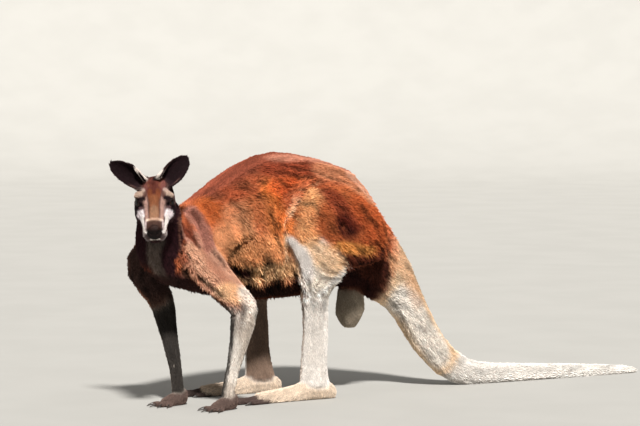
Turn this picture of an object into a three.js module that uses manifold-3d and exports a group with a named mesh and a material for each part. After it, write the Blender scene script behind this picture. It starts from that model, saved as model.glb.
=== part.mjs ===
// A male red kangaroo, life size, standing on all fours with its tail laid on the ground
// and its head turned to its left. Millimetres, +Z up. The head end points to -X, the
// animal's right side to +Y, and the soles, palms and tail rest on the plane Z = 0.
//
// The trunk and tail, the neck, the head and each length of limb are lofts: closed skins
// drawn through a few cross-sections. Where two meet, the later one is cut back by the
// earlier one grown by GAP, so that neighbours fit face to face without touching.

import * as THREE from 'three';
import { mergeVertices } from 'three/addons/utils/BufferGeometryUtils.js';
import Module from 'manifold-3d';

const wasm = await Module();
wasm.setup();

// ---------------------------------------------------------------- driving dimensions

const GAP = 0.35; // clearance between neighbouring pieces
const BIG = 4000; // reach of a cutting block

const HEAD_YAW = 65.5; // degrees the face is turned to the animal's left
const HEAD_PITCH = 33; // degrees the muzzle points below the horizontal
const HEAD_ROLL = 2.5; // degrees the left ear is raised
const HEAD_AT = [-629, -192, 599]; // midway between the eyes

const EYE_RADIUS = 15.5;
const EYE_AT = [6, 40, 17]; // left eye, in the head's own frame: forward, left, up
const EAR_LENGTH = 128;

// ------------------------------------------------------------------------ geometry

const vec = ([x, y, z]) => new THREE.Vector3(x, y, z);
const degrees = THREE.MathUtils.degToRad;

// Catmull-Rom value at t (0 to 1) through evenly spaced rows of numbers.
function spline(rows, t) {
	const last = rows.length - 1;
	const at = Math.min(t * last, last - 1e-9);
	const i = Math.floor(at);
	const s = at - i;
	const [a, b, c, d] = [i - 1, i, i + 1, i + 2].map((k) => rows[THREE.MathUtils.clamp(k, 0, last)]);
	return b.map((_, k) => {
		const slope0 = (c[k] - a[k]) / 2;
		const slope1 = (d[k] - b[k]) / 2;
		const rise = c[k] - b[k];
		return b[k] + s * (slope0 + s * (3 * rise - 2 * slope0 - slope1 + s * (slope0 + slope1 - 2 * rise)));
	});
}

// A cross-section: its centre, the vector from the centre to its upper or front edge, its half-width,
// egg (above 0, wider towards that edge), square (2 is an ellipse) and waist (how far the sides pinch in).
const section = (centre, edge, width, { egg = 0, square = 2, waist = 0 } = {}) =>
	[...centre, ...edge, width, egg, square, waist];

// A section drawn between two points of a side view, [x, z] of its upper or front edge and of its other edge.
const between = ([x1, z1], [x2, z2], y, width, shape) =>
	section([(x1 + x2) / 2, y, (z1 + z2) / 2], [(x1 - x2) / 2, 0, (z1 - z2) / 2], width, shape);

// A closed skin through sections, with a round cap of the given length on each end.
function loft(sections, { rings, sides, caps, grow = 0, capRings = 2 }) {
	const rows = [];
	for (let i = 0; i <= rings; i++) rows.push(spline(sections, i / rings));
	const centres = rows.map((row) => vec(row));
	const tangents = centres.map((_, i) =>
		centres[Math.min(i + 1, rings)].clone().sub(centres[Math.max(i - 1, 0)]).normalize());

	const points = [];
	const addRing = (row, tangent, scale, shift) => {
		const edge = vec(row.slice(3, 6));
		const side = edge.clone().cross(tangent).normalize();
		edge.setLength(edge.length() + grow);
		const [width, egg, square, waist] = row.slice(6);
		const centre = vec(row).addScaledVector(tangent, shift);
		for (let j = 0; j < sides; j++) {
			const angle = (2 * Math.PI * j) / sides;
			const [c, s] = [Math.cos(angle), Math.sin(angle)].map(
				(v) => Math.sign(v) * Math.abs(v) ** (2 / square));
			const across = (width + grow) * c * (1 + egg * s) * (1 - waist * (1 - s * s) ** 2);
			points.push(centre.clone().addScaledVector(side, across * scale).addScaledVector(edge, s * scale));
		}
	};
	const capStep = Math.PI / 2 / capRings;
	for (let k = capRings - 1; k > 0; k--)
		addRing(rows[0], tangents[0], Math.cos(k * capStep), -(caps[0] + grow) * Math.sin(k * capStep));
	rows.forEach((row, i) => addRing(row, tangents[i], 1, 0));
	for (let k = 1; k < capRings; k++)
		addRing(rows[rings], tangents[rings], Math.cos(k * capStep), (caps[1] + grow) * Math.sin(k * capStep));

	const count = points.length / sides;
	const start = points.push(centres[0].addScaledVector(tangents[0], -(caps[0] + grow))) - 1;
	const end = points.push(centres[rings].addScaledVector(tangents[rings], caps[1] + grow)) - 1;
	const index = [];
	for (let j = 0; j < sides; j++) {
		const next = (j + 1) % sides;
		for (let i = 0; i < count - 1; i++) {
			const [a, b, c, d] = [i * sides + j, i * sides + next, (i + 1) * sides + j, (i + 1) * sides + next];
			index.push(a, b, c, b, d, c);
		}
		index.push(start, next, j, end, (count - 1) * sides + j, (count - 1) * sides + next);
	}
	return new THREE.BufferGeometry().setFromPoints(points).setIndex(index);
}

// A three.js geometry, in place, as a solid that can be joined and cut.
function solid(geometry, matrix) {
	const bare = geometry.clone();
	bare.deleteAttribute('normal');
	bare.deleteAttribute('uv');
	if (matrix) bare.applyMatrix4(matrix);
	const merged = mergeVertices(bare, 1e-3);
	return new wasm.Manifold(new wasm.Mesh({
		numProp: 3,
		vertProperties: new Float32Array(merged.attributes.position.array),
		triVerts: new Uint32Array(merged.index.array),
	}));
}

const join = (solids) => solids.reduce((whole, piece) => whole.add(piece));
const cut = (piece, ...cutters) => cutters.reduce((left, cutter) => left.subtract(cutter), piece);

// The largest body of a solid, without the slivers that a cut may leave.
const largest = (piece) => piece.decompose().reduce((a, b) => (b.volume() > a.volume() ? b : a));

// An ellipsoid in the head's own frame.
function ellipsoid(centre, [rx, ry, rz], detail) {
	const place = headFrame.clone()
		.multiply(new THREE.Matrix4().setPosition(...centre))
		.scale(new THREE.Vector3(rx, ry, rz));
	return solid(new THREE.SphereGeometry(1, 2 * detail, detail), place);
}

// Everything on the far side of a plane, the side that its normal points to.
function beyond(point, normal) {
	const n = normal.clone().normalize();
	const turn = new THREE.Quaternion().setFromUnitVectors(new THREE.Vector3(0, 0, 1), n);
	const place = new THREE.Matrix4().compose(point.clone().addScaledVector(n, BIG / 2), turn, vec([1, 1, 1]));
	return solid(new THREE.BoxGeometry(BIG, BIG, BIG), place);
}

const floor = beyond(vec([0, 0, 0]), vec([0, 0, -1]));

// The two sides of a thin cut across a solid.
function part(whole, point, normal) {
	const n = normal.clone().normalize();
	const near = whole.subtract(beyond(point.clone().addScaledVector(n, -GAP / 2), n));
	const far = whole.subtract(beyond(point.clone().addScaledVector(n, GAP / 2), n.clone().negate()));
	return [near, far];
}

// -------------------------------------------------------------------- trunk and tail

// Upper edge, lower edge, middle of the section across the body, half-width.
const BODY = [
	between([-558, 510], [-590, 392], -88, 74),
	between([-502, 568], [-532, 358], -72, 104, { egg: -0.05 }),
	between([-428, 616], [-446, 334], -48, 125, { egg: -0.08 }),
	between([-340, 674], [-350, 312], -26, 140, { egg: -0.1 }),
	between([-254, 720], [-258, 300], -10, 150, { egg: -0.1 }),
	between([-168, 738], [-164, 298], -3, 153, { egg: -0.08 }),
	between([-80, 728], [-76, 304], 0, 148, { egg: -0.05 }),
	between([8, 706], [0, 318], 0, 140),
	between([94, 674], [56, 326], 0, 126, { egg: 0.05 }),
	between([146, 610], [98, 314], 0, 108, { egg: 0.06 }),
	between([192, 541], [134, 298], 0, 90, { egg: 0.06 }),
	between([244, 474], [172, 280], 0, 77),
	between([291, 402], [218, 256], 0, 66),
	between([328, 320], [262, 210], 0, 57),
	between([371, 236], [303, 144], 0, 50),
	between([418, 158], [352, 86], 0, 44),
	between([472, 103], [412, 32], 0, 38),
	between([532, 72], [490, -3], 0, 35, { square: 2.2 }),
	between([606, 60], [594, -6], 0, 31, { square: 2.2 }),
	between([710, 53], [706, -6], 0, 28, { square: 2.2 }),
	between([830, 46], [828, -6], 0, 24, { square: 2.2 }),
	between([950, 38], [950, -5], 0, 20, { square: 2.2 }),
	between([1056, 29], [1056, -5], 0, 15, { square: 2.2 }),
	between([1130, 19], [1130, -4], 0, 9, { square: 2.2 }),
];
const TAIL_CUTS = [11, 16, 20]; // the sections where the tail is parted from the trunk and into lengths

const body = (grow = 0) => solid(loft(BODY, { rings: 32, sides: 16, caps: [34, 14], grow }));

// ------------------------------------------------------------------------------ neck

// Centre, half-depth vector towards the throat, half-width.
const NECK = [
	section([-522, -62, 404], [-92, -22, 10], 88),
	section([-550, -79, 448], [-82, -28, 4], 81),
	section([-568, -94, 492], [-66, -36, -8], 73),
	section([-579, -106, 538], [-50, -42, -18], 65),
	section([-590, -120, 580], [-37, -40, -26], 58),
	section([-601, -132, 614], [-28, -36, -28], 50),
];
const neck = (grow = 0) => solid(loft(NECK, { rings: 6, sides: 12, caps: [60, 20], grow }));

// ------------------------------------------------------------------------------ head

// The head's own frame is forward (towards the nose), left, up (towards the crown).
const headFrame = new THREE.Matrix4()
	.makeTranslation(...HEAD_AT)
	.multiply(new THREE.Matrix4().makeRotationZ(Math.PI + degrees(HEAD_YAW)))
	.multiply(new THREE.Matrix4().makeRotationY(degrees(HEAD_PITCH)))
	.multiply(new THREE.Matrix4().makeRotationX(degrees(HEAD_ROLL)));

const HEAD = [
	between([-96, 22], [-88, -34], 0, 40),
	between([-76, 50], [-70, -54], 0, 50),
	between([-48, 64], [-46, -66], 0, 55, { egg: -0.04 }),
	between([-18, 65], [-18, -68], 0, 57, { egg: -0.06 }),
	between([12, 56], [10, -64], 0, 53, { egg: -0.08 }),
	between([40, 45], [38, -57], 0, 45, { egg: -0.1 }),
	between([68, 37], [66, -51], 0, 37.5, { egg: -0.06 }),
	between([95, 32], [93, -47], 0, 33, { square: 2.2 }),
	between([116, 28], [114, -42], 0, 29.5, { square: 2.3 }),
	between([130, 20], [127, -33], 0, 24.5, { square: 2.3 }),
];
const BROW = { at: [2, 38, 30], size: [30, 17, 13] };
const CHEEK = { at: [12, 39, -20], size: [42, 16, 22] };
const LIP = { at: [102, 16.5, -18], size: [32, 16, 20] };

const mirrored = ([x, y, z], side) => [x, y * side, z];
const SIDES = { left: 1, right: -1 };

const skull = (grow = 0) => {
	const lumps = [BROW, CHEEK, LIP].flatMap(({ at, size }) =>
		Object.values(SIDES).map((side) =>
			ellipsoid(mirrored(at, side), size.map((r) => r + grow), 5)));
	const bare = solid(loft(HEAD, { rings: 12, sides: 16, caps: [14, 10], grow }), headFrame);
	return join([bare, ...lumps]);
};
const eye = (side, grow = 0) =>
	ellipsoid(mirrored(EYE_AT, side), Array(3).fill(EYE_RADIUS + grow), 6);

// The bare nose pad fills the front of the muzzle, and the mouth's slit frees the lower jaw.
const NOSE_AT = [135, 0, 8];
const NOSE_SIZE = [26, 24, 21];
const NOSTRIL = { at: [139, 13, 5], size: [12, 4.2, 5] };
const JAW = { corner: [58, -31], rise: 5, depth: 90 };

const noseRegion = (grow) => ellipsoid(NOSE_AT, NOSE_SIZE.map((r) => r + grow), 6);

function jawRegion(grow) {
	const [x, z] = JAW.corner;
	const slit = new THREE.Matrix4()
		.makeTranslation(x - grow, 0, z + grow)
		.multiply(new THREE.Matrix4().makeRotationY(-degrees(JAW.rise)));
	const block = new THREE.BoxGeometry(BIG, BIG, JAW.depth).translate(BIG / 2, 0, -JAW.depth / 2);
	return solid(block, headFrame.clone().multiply(slit));
}

// Half-width of an ear along its length, and how far round its edges curl, in degrees.
const EAR_WIDTH = [20, 24.5, 26.5, 27.2, 26.4, 23, 17.5, 9.3];
const EAR_CURL = [125, 118, 104, 88, 74, 62, 52, 40];
const EARS = { // root of each ear, its direction and that of its opening, in the head's own frame
	left: { at: [-50, 26, 46], axis: [-0.76, 0.645, 0.23], opening: [0.8, 0.1, 0.55] },
	right: { at: [-51, -29, 48], axis: [-0.3, -0.853, 0.4], opening: [0.8, -0.05, 0.6] },
};

function ear(name) {
	const root = vec(EARS[name].at);
	const axis = vec(EARS[name].axis).normalize();
	const opening = vec(EARS[name].opening).projectOnPlane(axis).normalize();
	const across = opening.clone().cross(axis);
	const [lengths, widths] = [8, 5];

	// A cupped leaf: v runs across it from -1 to 1, and lift is the distance behind its inner face.
	const surface = (u, v, lift) => {
		const [halfWidth, curl] = [EAR_WIDTH, EAR_CURL].map((list) => spline(list.map((n) => [n]), u)[0]);
		const angle = degrees(curl);
		const radius = halfWidth / Math.sin(Math.min(angle, Math.PI / 2)) + lift;
		const tipTaper = Math.sqrt(Math.max(0, 1 - ((u - 0.86) / 0.15) ** 2));
		const spread = v * angle * (u > 0.86 ? tipTaper : 1);
		return root.clone()
			.addScaledVector(axis, (u - 0.12) * EAR_LENGTH)
			.addScaledVector(across, radius * Math.sin(spread))
			.addScaledVector(opening, radius * (1 - Math.cos(spread)) - lift);
	};
	const points = [];
	for (const behind of [0, 1])
		for (let i = 0; i <= lengths; i++)
			for (let j = 0; j <= widths; j++) {
				const [u, v] = [i / lengths, (2 * j) / widths - 1];
				points.push(surface(u * 0.985, v, behind * (4.6 - 1.8 * u - 1.2 * v * v)));
			}
	const at = (behind, i, j) => (behind * (lengths + 1) + i) * (widths + 1) + j;
	const index = [];
	const quad = (a, b, c, d) => index.push(a, c, b, a, d, c);
	for (let i = 0; i < lengths; i++) {
		for (let j = 0; j < widths; j++) {
			quad(at(0, i, j), at(0, i, j + 1), at(0, i + 1, j + 1), at(0, i + 1, j));
			quad(at(1, i, j), at(1, i + 1, j), at(1, i + 1, j + 1), at(1, i, j + 1));
		}
		quad(at(0, i, 0), at(0, i + 1, 0), at(1, i + 1, 0), at(1, i, 0));
		quad(at(0, i, widths), at(1, i, widths), at(1, i + 1, widths), at(0, i + 1, widths));
	}
	for (let j = 0; j < widths; j++) {
		quad(at(0, 0, j), at(1, 0, j), at(1, 0, j + 1), at(0, 0, j + 1));
		quad(at(0, lengths, j), at(0, lengths, j + 1), at(1, lengths, j + 1), at(1, lengths, j));
	}
	return solid(new THREE.BufferGeometry().setFromPoints(points).setIndex(index), headFrame);
}

// ------------------------------------------------------------------------------ limbs

// A limb's section lies across its run: centre, half-depth fore and aft, half-width across.
const stack = (rows) => rows.map(([x, y, z, depth, width, shape], i) => {
	const [a, b] = [rows[Math.max(i - 1, 0)], rows[Math.min(i + 1, rows.length - 1)]];
	const run = vec(b).sub(vec(a)).normalize();
	const edge = new THREE.Vector3(-1, 0, 0).projectOnPlane(run).setLength(depth);
	return section([x, y, z], edge.toArray(), width, shape);
});

const UPPER_ARM = {
	left: [
		[-486, -110, 508, 46, 36], [-473, -138, 464, 60, 46], [-450, -169, 412, 57, 48],
		[-416, -196, 362, 48, 44], [-385, -214, 324, 42, 40], [-365, -221, 300, 37, 37],
	],
	right: [
		[-554, 12, 468, 44, 38], [-560, 40, 430, 54, 45], [-548, 66, 390, 55, 46],
		[-524, 76, 350, 47, 42], [-504, 72, 314, 40, 38], [-496, 68, 292, 36, 35],
	],
};
const FOREARM = {
	left: [
		[-369, -221, 314, 36, 35], [-362, -220, 282, 39, 36], [-366, -214, 238, 34, 33],
		[-375, -206, 182, 26, 26], [-387, -197, 120, 19.5, 21], [-396, -191, 74, 17.5, 20],
		[-401, -189, 42, 18, 21],
	],
	right: [
		[-498, 68, 304, 35, 34], [-492, 62, 272, 35, 33], [-490, 42, 226, 28, 28],
		[-488, 18, 172, 22, 23], [-487, -6, 114, 18, 20], [-488, -24, 70, 17, 20], [-490, -32, 42, 17, 21],
	],
};
const THIGH = {
	left: [
		between([136, 548], [146, 430], -82, 48),
		between([100, 596], [112, 398], -100, 72, { egg: -0.1 }),
		between([46, 626], [60, 384], -112, 80, { egg: -0.14 }),
		between([-22, 638], [-6, 380], -122, 80, { egg: -0.14 }),
		between([-92, 630], [-68, 384], -132, 71, { egg: -0.1 }),
		between([-152, 594], [-126, 410], -142, 58),
		between([-188, 544], [-168, 452], -150, 42),
	],
};
const SHANK = {
	left: [
		between([-180, 504], [-36, 466], -150, 50),
		between([-185, 462], [-8, 418], -152, 50),
		between([-164, 414], [6, 378], -150, 45, { egg: 0.1 }),
		between([-144, 358], [-38, 334], -143, 36, { egg: 0.14 }),
		between([-131, 300], [-50, 292], -133, 29, { egg: 0.12, waist: 0.14 }),
		between([-124, 240], [-43, 238], -124, 25, { egg: 0.1, waist: 0.26 }),
		between([-122, 180], [-41, 180], -117, 23, { egg: 0.1, waist: 0.3 }),
		between([-121, 120], [-40, 118], -110, 22, { egg: 0.08, waist: 0.26 }),
		between([-125, 74], [-32, 74], -106, 24, { waist: 0.14 }),
		between([-127, 44], [-24, 40], -105, 26),
	],
};
const RIGHT_LEG_AHEAD = 80; // the right foot stands this far in front of the left one

// The right leg is the left one across the middle, drawn forward more and more towards the foot.
const acrossAhead = (sections, share) => sections.map((row) => {
	const [x, y, z, ...rest] = row;
	return [x - RIGHT_LEG_AHEAD * share(z), -y, z, rest[0], -rest[1], ...rest.slice(2)];
});
const swing = (z) => THREE.MathUtils.smoothstep(620 - z, 0, 420);
THIGH.right = acrossAhead(THIGH.left, swing);
SHANK.right = acrossAhead(SHANK.left, swing);

const upperArm = (name, grow = 0) =>
	solid(loft(stack(UPPER_ARM[name]), { rings: 5, sides: 10, caps: [36, 22], grow }));
const forearm = (name, grow = 0) =>
	solid(loft(stack(FOREARM[name]), { rings: 7, sides: 10, caps: [20, 12], grow }));
const thigh = (name, grow = 0) =>
	solid(loft(THIGH[name], { rings: 7, sides: 12, caps: [26, 16], grow }));
const shank = (name, grow = 0) =>
	solid(loft(SHANK[name], { rings: 10, sides: 10, caps: [16, 14], grow }));

// ------------------------------------------------------------------- paws and claws

// A paw's own frame: forward, left, up from a point on the ground.
const groundFrame = ([x, y], turn) =>
	new THREE.Matrix4().makeRotationZ(Math.PI + degrees(turn)).setPosition(x, y, 0);

const FOREPAW = {
	left: groundFrame([-395, -190], 12),
	right: groundFrame([-484, -33], 8),
};
const PALM = [
	between([-14, 50], [-16, 2], 0, 18),
	between([8, 46], [2, -3], 0, 22),
	between([32, 32], [30, -3], 0, 25, { square: 2.2 }),
	between([50, 22], [50, -3], 0, 25, { square: 2.3 }),
];
// Direction in degrees from straight ahead to the outer side, length and half-width of each finger.
const FINGERS = [[-44, 24, 6.4], [-20, 33, 7], [0, 37, 7.2], [19, 34, 7], [41, 25, 6.4]];
const FINGER_ROOT = 40;
const FORE_CLAW = { length: 25, radius: 3.6 };

const HIND_FOOT = {
	left: groundFrame([-16, -103], 2),
	right: groundFrame([-16 - RIGHT_LEG_AHEAD, 103], -2),
};
const METATARSUS = [
	between([4, 46], [4, -2], 0, 17),
	between([34, 62], [36, -4], 0, 22),
	between([92, 62], [84, -4], 0, 23),
	between([130, 46], [126, -4], 0, 23.5),
	between([190, 37], [188, -4], 0, 26, { square: 2.2 }),
	between([246, 31], [246, -4], 2, 29, { square: 2.3 }),
];
// Start, end, sideways offset (to the outer side) at both, half-width and half-height of each hind toe.
const TOES = {
	fourth: { from: [232, 0], to: [322, 2], width: [15, 11.5], height: [15, 10.5] },
	fifth: { from: [228, 21], to: [284, 30], width: [11, 8.5], height: [11, 8.5] },
	second_third: { from: [228, -19], to: [272, -24], width: [10, 8.5], height: [9.5, 7.5] },
};
// The claws on each toe: sideways offset, length and radius at the root.
const HIND_CLAWS = {
	fourth: [['fourth_claw', 0, 38, 7.5]],
	fifth: [['fifth_claw', 0, 26, 5.2]],
	second_third: [['second_claw', -4.4, 17, 2.9], ['third_claw', 4.4, 17, 2.9]],
};

// A finger or toe lying on the ground between two points of the paw's frame.
function digit(from, to, widths, heights, frame, grow) {
	const run = new THREE.Vector2(to[0] - from[0], to[1] - from[1]);
	const rows = [0, 0.35, 0.7, 1].map((t) => {
		const [x, y] = [from[0] + run.x * t, from[1] + run.y * t];
		const knuckle = 1 + 0.1 * Math.cos(4 * Math.PI * t);
		const width = THREE.MathUtils.lerp(...widths, t) * knuckle;
		const height = THREE.MathUtils.lerp(...heights, t) * knuckle;
		return section([x, y, height - 2], [0, 0, height], width, { square: 2.2 });
	});
	return solid(loft(rows, { rings: 2, sides: 5, caps: [4, 7], grow }), frame);
}

// A claw that leaves its toe level and curves down to a point just above the ground.
function claw(root, direction, length, radius, frame, grow = 0) {
	const rows = [0, 0.5, 1].map((t) => {
		const ahead = vec(root).addScaledVector(direction, length * t);
		const thick = radius * (1 - 0.86 * t ** 1.3);
		ahead.z += THREE.MathUtils.lerp(0, thick + 0.8 - root[2], t ** 1.6);
		return section(ahead.toArray(), [0, 0, thick * 1.15], thick, {});
	});
	return solid(loft(rows, { rings: 2, sides: 5, caps: [3, 0.8], grow, capRings: 1 }), frame);
}

const forePalm = (name, grow = 0) =>
	solid(loft(PALM, { rings: 3, sides: 8, caps: [8, 8], grow }), FOREPAW[name]);

// Every finger of one forepaw: its flesh and its claw. The first finger is the innermost.
function fingers(name, grow = 0) {
	const outer = SIDES[name];
	return FINGERS.map(([turn, length, width]) => {
		const angle = degrees(turn) * outer;
		const direction = new THREE.Vector3(Math.cos(angle), Math.sin(angle), 0);
		const from = [FINGER_ROOT, Math.sin(angle) * 24];
		const to = [from[0] + direction.x * length, from[1] + direction.y * length];
		const root = [to[0] + direction.x * 1, to[1] + direction.y * 1, width + 1];
		return {
			flesh: digit(from, to, [width + 1, width], [width + 2, width], FOREPAW[name], grow),
			claw: claw(root, direction, FORE_CLAW.length, FORE_CLAW.radius, FOREPAW[name]),
		};
	});
}

const hindSole = (name, grow = 0) =>
	solid(loft(METATARSUS, { rings: 7, sides: 10, caps: [16, 10], grow }), HIND_FOOT[name]);

function hindToe(name, toe, grow = 0) {
	const { from, to, width, height } = TOES[toe];
	const outer = SIDES[name];
	return digit([from[0], from[1] * outer], [to[0], to[1] * outer], width, height, HIND_FOOT[name], grow);
}

function hindClaws(name, toe) {
	const { from, to, height } = TOES[toe];
	const outer = SIDES[name];
	const direction = new THREE.Vector3(to[0] - from[0], (to[1] - from[1]) * outer, 0).normalize();
	return HIND_CLAWS[toe].map(([label, offset, length, radius]) => {
		const root = [to[0] + 1, (to[1] + offset) * outer, height[1] - 1];
		return [label, claw(root, direction, length, radius, HIND_FOOT[name])];
	});
}

const SCROTUM = [
	between([72, 336], [130, 328], 0, 24),
	between([70, 300], [130, 296], 0, 29),
	between([65, 268], [132, 264], 0, 33),
	between([66, 238], [126, 234], 0, 30),
	between([80, 214], [110, 212], 0, 18),
];
const scrotum = () => solid(loft(SCROTUM, { rings: 6, sides: 10, caps: [16, 8] }));

// ------------------------------------------------------------------------- materials

const finish = (colour, roughness = 0.9) =>
	new THREE.MeshStandardMaterial({ color: colour, roughness, metalness: 0 });
const MATERIALS = {
	russet: finish('#a85a36'),
	tan: finish('#b98263'),
	grey: finish('#6f5b56'),
	cream: finish('#d9c7ba'),
	face: finish('#a9705a'),
	ear: finish('#4a3838'),
	skin: finish('#5f5c50', 0.8),
	nose: finish('#1d1718', 0.5),
	eye: finish('#120c0a', 0.12),
	claw: finish('#26201e', 0.45),
};

const animal = new THREE.Group();

// Adds a solid to the model as a named mesh.
function add(name, piece, material) {
	const { vertProperties, triVerts, numProp } = largest(piece).getMesh();
	const positions = [];
	for (let i = 0; i < vertProperties.length; i += numProp) positions.push(...vertProperties.slice(i, i + 3));
	const geometry = new THREE.BufferGeometry()
		.setAttribute('position', new THREE.Float32BufferAttribute(positions, 3))
		.setIndex(new THREE.BufferAttribute(triVerts, 1));
	geometry.computeVertexNormals();
	const mesh = new THREE.Mesh(geometry, MATERIALS[material]);
	mesh.name = name;
	animal.add(mesh);
}

// -------------------------------------------------------------------------- assembly

const bodyGrown = body(GAP);
const neckGrown = neck(GAP);
const skullGrown = skull(GAP);

// The trunk and the three lengths of the tail come from one skin.
let rest = cut(body(), floor);
const lengths = TAIL_CUTS.map((i) => {
	const centre = vec(BODY[i]);
	const across = new THREE.Vector3(0, 1, 0).cross(vec(BODY[i].slice(3)));
	const [near, far] = part(rest, centre, across);
	rest = far;
	return near;
});
['trunk', 'tail_base', 'tail_middle'].forEach((name, i) => add(name, lengths[i], i ? 'cream' : 'russet'));
add('tail_end', rest, 'cream');
add('scrotum', cut(scrotum(), bodyGrown), 'skin');

add('neck', cut(neck(), bodyGrown, skullGrown), 'grey');

const sockets = Object.values(SIDES).map((side) => eye(side, GAP));
const face = cut(skull(), ...sockets);
add('head', cut(face, jawRegion(GAP), noseRegion(GAP)), 'face');
add('lower_jaw', cut(face.intersect(jawRegion(0)), noseRegion(GAP)), 'cream');
const nostrils = Object.values(SIDES).map((side) =>
	ellipsoid(mirrored(NOSTRIL.at, side), NOSTRIL.size, 4));
add('nose', cut(face.intersect(noseRegion(0)), jawRegion(GAP), ...nostrils), 'nose');

for (const [name, side] of Object.entries(SIDES)) {
	add(`${name}_eye`, eye(side), 'eye');
	add(`${name}_ear`, cut(ear(name), skullGrown, neckGrown), 'ear');

	add(`${name}_upper_arm`, cut(upperArm(name), bodyGrown, neckGrown), 'tan');
	add(`${name}_forearm`, cut(forearm(name), upperArm(name, GAP), bodyGrown), 'cream');
	const grown = fingers(name, GAP);
	const paw = join([forePalm(name), ...fingers(name).map(({ flesh }) => flesh)]);
	add(`${name}_forepaw`, cut(paw, forearm(name, GAP), floor), 'grey');
	grown.forEach(({ flesh, claw: nail }, i) =>
		add(`${name}_finger_claw_${i + 1}`, cut(nail, flesh, floor), 'claw'));

	add(`${name}_thigh`, cut(thigh(name), bodyGrown), 'russet');
	add(`${name}_shank`, cut(shank(name), thigh(name, GAP), bodyGrown), 'cream');
	add(`${name}_hind_foot`, cut(hindSole(name), shank(name, GAP), floor), 'cream');
	const foot = hindSole(name, GAP);
	const before = [foot];
	for (const toe of Object.keys(TOES)) {
		add(`${name}_${toe}_toe`, cut(hindToe(name, toe), ...before, floor), 'grey');
		before.push(hindToe(name, toe, GAP));
		hindClaws(name, toe).forEach(([label, nail]) =>
			add(`${name}_${label}`, cut(nail, hindToe(name, toe, GAP), floor), 'claw'));
	}
}

// The frame's origin is on the ground, under the middle of the whole animal's box.
const box = new THREE.Box3().setFromObject(animal);
const middle = box.getCenter(new THREE.Vector3());
animal.position.set(-middle.x, -middle.y, 0);

const kangaroo = new THREE.Group();
kangaroo.add(animal);
export default kangaroo;
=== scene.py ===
import heapq
import math

import bmesh
import bpy
import numpy as np
from mathutils import Matrix, Vector
from mathutils.bvhtree import BVHTree


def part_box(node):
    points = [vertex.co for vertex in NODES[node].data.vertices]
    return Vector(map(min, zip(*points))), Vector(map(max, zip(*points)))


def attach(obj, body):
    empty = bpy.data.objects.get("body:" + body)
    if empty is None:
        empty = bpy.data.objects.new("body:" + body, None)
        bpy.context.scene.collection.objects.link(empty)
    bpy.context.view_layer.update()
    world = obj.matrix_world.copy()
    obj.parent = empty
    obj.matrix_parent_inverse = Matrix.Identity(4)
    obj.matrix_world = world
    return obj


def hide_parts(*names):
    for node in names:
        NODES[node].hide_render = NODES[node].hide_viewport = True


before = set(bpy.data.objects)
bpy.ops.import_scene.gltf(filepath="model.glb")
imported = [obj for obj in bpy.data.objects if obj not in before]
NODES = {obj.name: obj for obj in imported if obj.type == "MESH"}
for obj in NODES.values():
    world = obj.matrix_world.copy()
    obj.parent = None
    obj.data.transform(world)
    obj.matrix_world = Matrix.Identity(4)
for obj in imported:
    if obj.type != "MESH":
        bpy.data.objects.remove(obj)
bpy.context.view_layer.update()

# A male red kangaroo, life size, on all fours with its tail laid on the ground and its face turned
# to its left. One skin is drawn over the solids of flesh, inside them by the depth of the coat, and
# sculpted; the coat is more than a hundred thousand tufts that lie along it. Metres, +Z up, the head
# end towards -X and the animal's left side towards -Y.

MM = 0.001
SIDES = {"left": 1, "right": -1}


# ------------------------------------------------------------------------------ places


def box_middle(node):
    low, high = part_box(node)
    return (np.array(low) + np.array(high)) / 2


# The body's own place is on the ground, below the middle of the hips, on the line of the spine.
TAIL_REACH = 1.14397  # from there back to the tip of the tail
BODY_AT = np.array((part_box("tail_end")[1][0] - TAIL_REACH, box_middle("tail_end")[1], 0.0))

# The head's own axes are forwards to the nose, left, and up to the crown, from midway between the eyes.
HEAD_YAW, HEAD_PITCH, HEAD_ROLL = (math.radians(angle) for angle in (180 + 65.5, 33, 2.5))
HEAD_AXES = np.array(
    Matrix.Rotation(HEAD_YAW, 3, "Z")
    @ Matrix.Rotation(HEAD_PITCH, 3, "Y")
    @ Matrix.Rotation(HEAD_ROLL, 3, "X")
)
EYE_RADIUS = 15.5 * MM
EYE_IN_HEAD = np.array((6, 0, 17)) * MM  # midway between the eyeballs' centres
HEAD_AT = (box_middle("left_eye") + box_middle("right_eye")) / 2 - HEAD_AXES @ EYE_IN_HEAD


def in_body(points):
    """Points in millimetres along the body's own axes."""
    return (points - BODY_AT) / MM


def in_head(points):
    """Points in millimetres along the head's own axes."""
    return (points - HEAD_AT) @ HEAD_AXES / MM


def from_body(points):
    return np.array(points, float) * MM + BODY_AT


def from_head(points):
    return np.array(points, float) * MM @ HEAD_AXES.T + HEAD_AT


def mirrored(point, side):
    return np.array(point, float) * (1, side, 1)


def fade(values, low, high):
    """Rises smoothly from 0 at low to 1 at high, or falls where high is the smaller."""
    t = np.clip((values - low) / (high - low), 0, 1)
    return t * t * (3 - 2 * t)


def unit(vectors):
    return vectors / np.maximum(np.linalg.norm(vectors, axis=-1, keepdims=True), 1e-9)


# ------------------------------------------------------------- camera, light and floor

CAMERA_AT = (-3.855, -7.109, 1.07)
CAMERA_TURN = (90 - 3.71, 0.0, -27.0)  # degrees
LENS, SENSOR = 150.0, 36.0


def make_camera():
    lens = bpy.data.cameras.new("camera")
    lens.lens, lens.sensor_width = LENS, SENSOR
    camera = bpy.data.objects.new("camera", lens)
    camera.location = CAMERA_AT
    camera.rotation_euler = [math.radians(a) for a in CAMERA_TURN]
    bpy.context.collection.objects.link(camera)
    bpy.context.scene.camera = camera


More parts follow.
